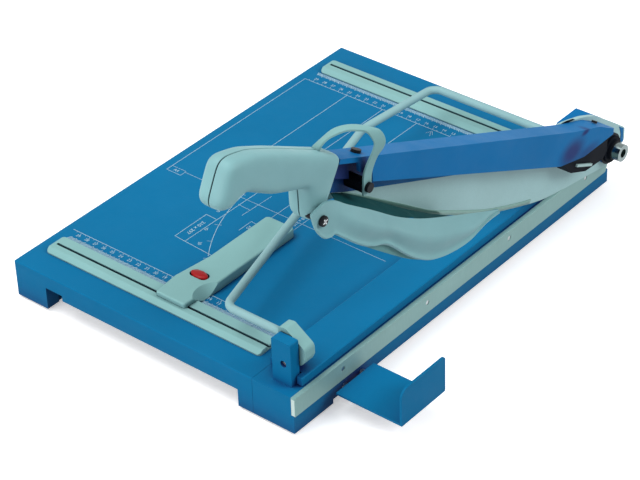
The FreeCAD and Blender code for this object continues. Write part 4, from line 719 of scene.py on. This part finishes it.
# How far the shield leans in or out, and the share of its height, from its upper edge down,
# over which each lean comes in.
SHOULDER = 2.2
SHOULDER_SPAN = (0.0, 0.14)
BELLY = 6.2
BELLY_SPAN = (0.04, 0.42)
TUCK = 4.4
TUCK_SPAN = (0.45, 0.90)
ROLL = 1.5
ROLL_SPAN = (0.93, 1.0)
ROLL_START = (0.02, 0.12)

LIP_LINE = [
    (30.0, 186.6), (46.8, 170.9), (60.5, 159.4), (80.5, 143.4), (101.1, 127.4), (116.0, 117.6),
    (128.0, 111.4),
]
LIP_FACE = GUARD_BACK + 0.9
# How far the inner skin's upper edge lies out from, behind and above its lower one.
LIP_TILT = 0.8
LIP_RISE = (12.0, 10.56)
LIP_THICKNESS = 1.1
LIP_EDGE = 0.4
LIP_STEPS = 40

SKIRT_HIGH = [
    (22.0, 223.6), (34.1, 212.6), (63.1, 190.8), (93.1, 168.7), (104.0, 162.7), (114.5, 157.5),
    (124.2, 150.0), (174.0, 125.2),
]
SKIRT_INNER = [
    (46.4, 206.8), (53.9, 203.0), (68.4, 194.0), (98.2, 172.4), (129.1, 148.8), (161.2, 126.2),
    (182.0, 112.8),
]
SKIRT_OUTER_X = GUARD_BACK - 1.6
SKIRT_INNER_X = BLADE_FACE + 0.3
SKIRT_THICKNESS = 0.5
SKIRT_EDGE = 0.15
SKIRT_STEPS = 60
SHEET_ROWS = 6


def moulded_sheet(piece, thickness, edge, offset=1.0):
    """Gives a moulded sheet its thickness and its rounded edges."""
    thicken(piece, thickness, offset)
    round_edges(piece, edge, 3, MOULDED_ANGLE)


def shield_place(high, low, s, t):
    """A place on the shield, s from its upper edge down and t from its front to its rear."""
    place = high.lerp(low, s)
    swell = step(SWELL_START, t) * (1 - step(SWELL_END, t))
    shoulder = -SHOULDER * (1 - step(SHOULDER_SPAN, s))
    belly = BELLY * step(BELLY_SPAN, s) - TUCK * step(TUCK_SPAN, s)
    rolled = ROLL * step(ROLL_SPAN, s) * step(ROLL_START, t)
    return Vector((GUARD_FACE + (shoulder + belly) * swell + rolled, place.y, place.z))


def guard_shield():
    """A moulded shield: its shoulder turns in at the top, and its lower rim is rolled outwards."""
    low = profile_curve(GUARD_LOW, SHIELD_ACROSS)
    high = profile_curve(GUARD_HIGH, SHIELD_ACROSS)
    rows = []
    for j in range(SHIELD_DOWN + 1):
        s = j / SHIELD_DOWN
        row = [
            shield_place(high[k], low[k], s, k / (SHIELD_ACROSS - 1)) for k in range(SHIELD_ACROSS)
        ]
        rows.append(row)
    build = bmesh.new()
    grid(build, rows)
    shield = piece_from("guard_shield", build, "guard", "grip_plastic")
    moulded_sheet(shield, SHIELD_THICKNESS, SHIELD_EDGE)
    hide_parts("blade_guard")


def guard_inner_lip():
    """The inner skin, which reaches lower than the shield where fingers hold the sheets."""
    lower = profile_curve(LIP_LINE, LIP_STEPS, LIP_FACE)
    rows = []
    for j in range(SHEET_ROWS + 1):
        up = 1 - j / SHEET_ROWS
        shift = Vector((LIP_TILT, *LIP_RISE)) * up
        rows.append([p + shift for p in lower])
    build = bmesh.new()
    grid(build, rows)
    # painted shade: the inner skin takes the darker copy of the grip plastic
    lip = piece_from("guard_inner_lip", build, "guard", "grip_plastic", SHADED_GRIP)
    moulded_sheet(lip, LIP_THICKNESS, LIP_EDGE)


def blade_skirt():
    """A skirt on the blade, which fills the gap to the shield and leaves the shield free; its dark
    colour is painted shade.
    """
    outer = profile_curve(SKIRT_HIGH, SKIRT_STEPS, SKIRT_OUTER_X)
    inner = profile_curve(SKIRT_INNER, SKIRT_STEPS, SKIRT_INNER_X)
    build = bmesh.new()
    rows = []
    for j in range(SHEET_ROWS + 1):
        rows.append([a.lerp(b, j / SHEET_ROWS) for a, b in zip(outer, inner)])
    grid(build, rows)
    # painted shade in the gap to the shield
    skirt = piece_from("blade_skirt", build, "arm", "grip_plastic", SKIRT_SHADE)
    moulded_sheet(skirt, SKIRT_THICKNESS, SKIRT_EDGE, offset=-1.0)


# ------------------------------------------------------------------- knives and the arm's hub

EDGE_LINE = [
    (57.0, 198.0), (83.0, 180.0), (109.7, 161.1), (136.0, 142.4), (162.2, 123.6), (181.0, 112.4),
    (200.1, 102.0), (220.5, 91.0), (240.9, 80.6), (255.5, 74.2), (270.1, 68.2), (289.0, 60.9),
    (308.1, 54.2),
]
EDGE_STEPS = 120
# Rows along the bevel: how far up from the cutting edge, and how far proud of the blade.
BEVEL_ROWS = ((0.35, 0.02), (4.0, 0.16), (4.4, 0.16))
PLATE_LIFT = 0.2
PLATE_THICKNESS = 0.3
HEEL = [(444.8, 62.5), (452.1, 57.5), (451.9, 43.0), (447.2, 45.7), (448.1, 53.0), (446.7, 57.9)]
# A black plate over the dark gap at the arm's neck, between its top and the band: painted shade.
NECK_GAP_SHADE = [
    (344.9, 113.0), (350.1, 112.7), (359.2, 111.6), (369.8, 108.6), (373.0, 106.2), (362.3, 108.5),
    (353.3, 109.6),
]
KNIFE_END_INSET = 0.3
KNIFE_END_PROUD = 0.12
KNIFE_END_SUNK = 0.1
KNIFE_END_BELOW_TOP = 1.4
KNIFE_END_EDGE = 0.05


def blade_edge():
    """The ground bevel along the blade's cutting edge, on its outer face."""
    low = profile_curve(EDGE_LINE, EDGE_STEPS)
    rows = [[] for _ in BEVEL_ROWS]
    for k, p in enumerate(low):
        ahead, behind = low[min(k + 1, len(low) - 1)], low[max(k - 1, 0)]
        along = (ahead - behind).normalized()
        up = Vector((0, -along.z, along.y))
        for row, (lift, proud) in zip(rows, BEVEL_ROWS):
            row.append(p + up * lift + Vector((BLADE_FACE + proud, 0, 0)))
    build = bmesh.new()
    grid(build, rows)
    thicken(piece_from("blade_bevel", build, "arm", "knife_steel", BEVEL_STEEL), PLATE_THICKNESS)


def hub_plate(name, outline, slot_name):
    """A thin plate at the arm's hub that looks to the right, from its outline in (y, z)."""
    build = bmesh.new()
    build.faces.new([build.verts.new((BLADE_FACE + PLATE_LIFT, y, z)) for y, z in outline])
    bmesh.ops.recalc_face_normals(build, faces=build.faces[:])
    thicken(piece_from(name, build, "arm", slot_name, smooth=False), PLATE_THICKNESS)


def knife_end():
    """The fixed knife's bright end, ground square."""
    low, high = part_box("lower_knife")
    front = low.y / MM - LAYOUT_Y
    left = low.x / MM - LAYOUT_X + KNIFE_END_INSET
    right = high.x / MM - LAYOUT_X - KNIFE_END_INSET
    bottom = low.z / MM + KNIFE_END_INSET
    top = TABLE_TOP - KNIFE_END_BELOW_TOP
    outline = ((left, bottom), (right, bottom), (right, top), (left, top))
    build = bmesh.new()
    stacked(build, [
        [Vector((x, y, z)) for x, z in outline]
        for y in (front - KNIFE_END_PROUD, front + KNIFE_END_SUNK)
    ])
    bmesh.ops.recalc_face_normals(build, faces=build.faces[:])
    soften(piece_from("knife_end", build, "base", "knife_steel", BRIGHT_STEEL), KNIFE_END_EDGE, 2)


# --------------------------------------------------------------------- small round pieces

HEAD_RADIUS = 4.2
HEAD_RISE = 1.3
HEAD_ROOT = 0.3
HEAD_POINTS = 40
# The head's crown: shares of its rise, with shares of its radius.
HEAD_CROWN = ((0.5, 1.0), (0.85, 0.86), (1.0, 0.6))
RECESS_REACH = 2.6
RECESS_WIDTH = 1.092
RECESS_LIFT = 0.04
RECESS_TURN = 0.4

BUTTON_LONG = 9.3 * 0.97
BUTTON_SHORT = 4.9 * 0.95
BUTTON_POINT = 0.32
BUTTON_POINTS = 64
# The button's rings from the bottom up: their share of its outline, with their height.
BUTTON_RINGS = (
    (1.0, -4.6), (1.0, -1.0), (0.97, -0.5), (0.90, -0.1), (0.72, 0.25), (0.4, 0.5), (0.1, 0.55),
)


def around(count):
    """Angles that go once around."""
    return [2 * math.pi * k / count for k in range(count)]


def screw_ring(depth, radius):
    return [
        Vector((depth, radius * math.cos(a), radius * math.sin(a))) for a in around(HEAD_POINTS)
    ]


def guard_screw_head():
    """A crowned screw head on the guard's screw, with a cross recess."""
    low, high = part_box("guard_screw")
    middle = (low + high) / 2
    place = Matrix.Translation((high.x, middle.y, middle.z)) @ Matrix.Scale(MM, 4)
    rings = [screw_ring(-HEAD_ROOT, HEAD_RADIUS)]
    rings += [screw_ring(HEAD_RISE * up, HEAD_RADIUS * share) for up, share in HEAD_CROWN]
    build = bmesh.new()
    stacked(build, rings)
    piece_from("guard_screw_head", build, "guard", "zinc_steel", OXIDE, place=place)
    # two crossed slots, just proud of the head, in bright zinc: a painted highlight in the recess
    build = bmesh.new()
    for turn in (RECESS_TURN, RECESS_TURN + math.pi / 2):
        along = Vector((0, math.cos(turn), math.sin(turn))) * RECESS_REACH
        aside = Vector((0, -math.sin(turn), math.cos(turn))) * RECESS_WIDTH / 2
        face = Vector((HEAD_RISE + RECESS_LIFT, 0, 0))
        corners = (-along - aside, along - aside, along + aside, aside - along)
        build.faces.new([build.verts.new(face + c) for c in corners])
    piece_from(
        "guard_screw_recess_highlight", build, "guard", "zinc_steel", smooth=False, place=place
    )


def button_ring(share, height):
    """A ring of the button: an oval drawn out to a point at both ends."""
    ring = []
    for a in around(BUTTON_POINTS):
        across = math.cos(a)
        aside = math.sin(a) * (1 - BUTTON_POINT * abs(across) ** 3)
        ring.append(Vector((BUTTON_LONG * across * share, BUTTON_SHORT * aside * share, height)))
    return ring


def button():
    """The red release button: a pointed oval with a domed top."""
    low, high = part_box("backstop_button")
    middle = (low + high) / 2
    place = Matrix.Translation((middle.x, middle.y, high.z)) @ Matrix.Scale(MM, 4)
    build = bmesh.new()
    stacked(build, [button_ring(share, height) for share, height in BUTTON_RINGS])
    red = piece_from("button_oval", build, "button", "red_plastic", place=place)
    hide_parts("backstop_button")


# ------------------------------------------------------------------- the CAD nodes' finish

# Painted shade for the soft hollows around the arm's hub, which the mesh doesn't have: their middle,
# their reach along each axis, their strength.
HUB_SHADE_SPOTS = (
    ((332.0, 342.0, 96.0), (60.0, 26.0, 17.0), 0.9),
    ((332.0, 361.7, 106.4), (14.0, 9.0, 4.0), 0.95),
    ((332.0, 366.0, 84.0), (60.0, 24.0, 10.0), 0.6),
)
HUB_SHADE_FADE = (0.2, 1.0)
PLAIN_EDGE = 0.2
EDGES = {
    "base_table": 0.8, "bed_rail": 0.6, "front_rail": 0.3, "back_rail": 0.3, "lower_knife": 0.15,
    "upper_blade": 0.25, "arm_beam": 0.9, "rear_post": 0.5, "front_post": 0.5, "clamp_plate": 0.5,
    "front_lever": 0.8, "rear_lever": 0.8, "side_stop": 0.7, "stop_carrier": 0.5, "pivot_bolt": 0.7,
    "pivot_washer": 0.25, "pivot_bush": 0.4, "pivot_ring": 0.25, "guard_screw": 0.4, "strap": 0.35,
    "strap_standoff": 0.5, "strap_screw": 0.5, "backstop_bar": 0.5, "backstop_button": 0.4,
    "light_housing": 0.6, "arm_screw_front": 0.3, "arm_screw_rear": 0.3, "rubber_feet": 0.5,
}
# Each enamel's second colour here is the dark colour of its painted corner shade.
OWN_FINISH = {
    "upper_blade": ground_steel(
        "moving_blade", linear(154, 192, 192), metal=0.12, along=(200, 900, 900)
    ),
    "clamp_bar": enamel(
        "bar_enamel", linear(140, 178, 180), linear(60, 100, 110), reach=0.008, roughness=0.46,
        spread=0.06,
    ),
    "arm_tang": enamel(
        "tang_enamel", linear(34, 52, 104), linear(14, 18, 44), reach=0.01, spread=0.06
    ),
    "arm_beam": enamel("arm_body_enamel", ARM_BLUE, SHADE_NAVY, reach=0.03),
}
OXIDE_NODES = (
    "pivot_ring", "pivot_washer", "arm_screw_front", "arm_screw_rear", "strap_screw", "guard_screw",
)


def hub_fold(material, node):
    """Paints shade into the arm's colour where the real arm has soft hollows around its hub."""
    t = Tree(material.node_tree)
    colour = t.tree.nodes["Principled BSDF"].inputs["Base Color"]
    body = colour.links[0].from_socket
    place = t.add("ShaderNodeTexCoord").outputs["Object"]
    to_node = node.matrix_world.inverted()
    for centre, reach, strength in HUB_SHADE_SPOTS:
        inputs = {"Vector": place, "Location": to_node @ at(*centre), "Scale": [r * MM for r in reach]}
        shift = t.add("ShaderNodeMapping", inputs, vector_type="TEXTURE")
        far = t.add("ShaderNodeVectorMath", {0: shift.outputs["Vector"]}, operation="LENGTH")
        fade = t.ramp(
            far.outputs["Value"], HUB_SHADE_FADE, (strength, 0.0), interpolation_type="SMOOTHSTEP"
        )
        # painted shade: navy mixed in, fading out from each spot's middle
        body = t.mix(fade, body, SHADE_NAVY)
    t.tree.links.new(body, colour)


def finish_nodes():
    """Gives each CAD node its finish, joins its facets and rounds its edges, and paints shade on the
    arm around its hub.
    """
    for row in frame["record"]["subparts"]:
        name = row["node"]
        node = NODES[name]
        own = OXIDE if name in OXIDE_NODES else OWN_FINISH.get(name)
        dress(node, row["material_slot"], own)
        node.modifiers.new("weld", "WELD").merge_threshold = WELD_REACH
        soften(node, EDGES.get(name, PLAIN_EDGE))
    hub_fold(OWN_FINISH["arm_beam"], NODES["arm_beam"])


# ------------------------------------------------------------------------------ the scene

FLOOR_REACH = 6.0
FLOOR_DROP = 0.0004
PAPER = ((0.93, 0.93, 0.93), (0.96, 0.96, 0.96))
PAPER_BOUNCE = (0.30, 0.32, 0.36)
PAPER_GLOW = 0.42
SKY = (0.40, 0.42, 0.45)
BLACK = (0, 0, 0)
WHITE = (1, 1, 1)
# Each lamp's place and target in metres, its size and its power.
LAMPS = {
    "key": ((-0.7, -0.7, 2.1), (0, 0, 0.05), 1.3, 29),
    "front": ((-0.2, -2.4, 0.8), (0, 0, 0.1), 1.4, 28),
    "right": ((1.7, 0.7, 1.3), (0.1, 0.1, 0.05), 0.9, 22),
}
# The camera's angles in degrees, its layout place, and its focal length over its sensor's width.
VIEW_YAW = 40.56
VIEW_PITCH = 35.07
VIEW_ROLL = -2.118
VIEW_PLACE = (1242.66, -1053.77, 1175.58)
SENSOR_WIDTH = 36.0
FOCAL_SHARE = 2335.0 / 640.0
CLIP = (0.05, 50.0)


def stage():
    """A plain pale floor that keeps the object's shadow."""
    build = bmesh.new()
    sides = ((-1, -1), (1, -1), (1, 1), (-1, 1))
    build.faces.new([
        build.verts.new((x * FLOOR_REACH, y * FLOOR_REACH, -FLOOR_DROP)) for x, y in sides
    ])
    mesh = bpy.data.meshes.new("floor")
    build.to_mesh(mesh)
    build.free()
    piece = bpy.data.objects.new("floor", mesh)
    bpy.context.scene.collection.objects.link(piece)
    m = Finish("floor_paper")
    seen = m.background_ray()
    paper = m.mix(m.noise(scale=3.0, detail=2.0), *PAPER)
    m.link(m.mix(seen, PAPER_BOUNCE, paper), "Base Color")
    m.link(m.mix(seen, BLACK, WHITE), "Emission Color")
    m.shader.inputs["Roughness"].default_value = 0.9
    m.shader.inputs["Specular IOR Level"].default_value = 0.1
    m.shader.inputs["Emission Strength"].default_value = PAPER_GLOW
    mesh.materials.append(m.material)


def light(name, place, target, size, power):
    """An area lamp that faces its target."""
    data = bpy.data.lights.new(name, "AREA")
    data.size = size
    data.energy = power
    lamp = bpy.data.objects.new(name, data)
    bpy.context.scene.collection.objects.link(lamp)
    lamp.location = place
    lamp.rotation_mode = "QUATERNION"
    lamp.rotation_quaternion = (Vector(target) - Vector(place)).to_track_quat("-Z", "Y")


def world():
    """A soft grey sky that shows as white where it is the background."""
    sky = bpy.data.worlds.new("studio")
    bpy.context.scene.world = sky
    sky.use_nodes = True
    t = Tree(sky.node_tree)
    t.tree.nodes.clear()
    colour = t.mix(t.background_ray(), SKY, WHITE)
    ground = t.add("ShaderNodeBackground", {"Color": colour})
    t.add("ShaderNodeOutputWorld", {"Surface": ground.outputs["Background"]})


def camera():
    """A long lens that looks down on the table from the front right."""
    yaw, pitch, roll = (math.radians(a) for a in (VIEW_YAW, VIEW_PITCH, VIEW_ROLL))
    back = Vector((
        math.sin(yaw) * math.cos(pitch), -math.cos(yaw) * math.cos(pitch), math.sin(pitch)
    ))
    level = Vector((math.cos(yaw), math.sin(yaw), 0))
    over = back.cross(level)
    right = level * math.cos(roll) + over * math.sin(roll)
    up = over * math.cos(roll) - level * math.sin(roll)
    data = bpy.data.cameras.new("camera")
    data.sensor_width = SENSOR_WIDTH
    data.lens = FOCAL_SHARE * SENSOR_WIDTH
    data.clip_start, data.clip_end = CLIP
    view = bpy.data.objects.new("camera", data)
    bpy.context.scene.collection.objects.link(view)
    place = at(*VIEW_PLACE)
    view.matrix_world = Matrix((
        (right.x, up.x, back.x, place.x),
        (right.y, up.y, back.y, place.y),
        (right.z, up.z, back.z, place.z),
        (0, 0, 0, 1),
    ))
    bpy.context.scene.camera = view


camera()
finish_nodes()
table_print()
grip()
guard_shield()
guard_inner_lip()
blade_skirt()
blade_edge()
hub_plate("arm_heel", HEEL, "arm_blue")
# painted shade: a black plate in the gap at the arm's neck
hub_plate("neck_gap_shade", NECK_GAP_SHADE, "black_plastic")
knife_end()
button()
guard_screw_head()
stage()
for lamp_name, settings in LAMPS.items():
    light(lamp_name, *settings)
world()
bpy.context.scene.view_settings.view_transform = "Standard"
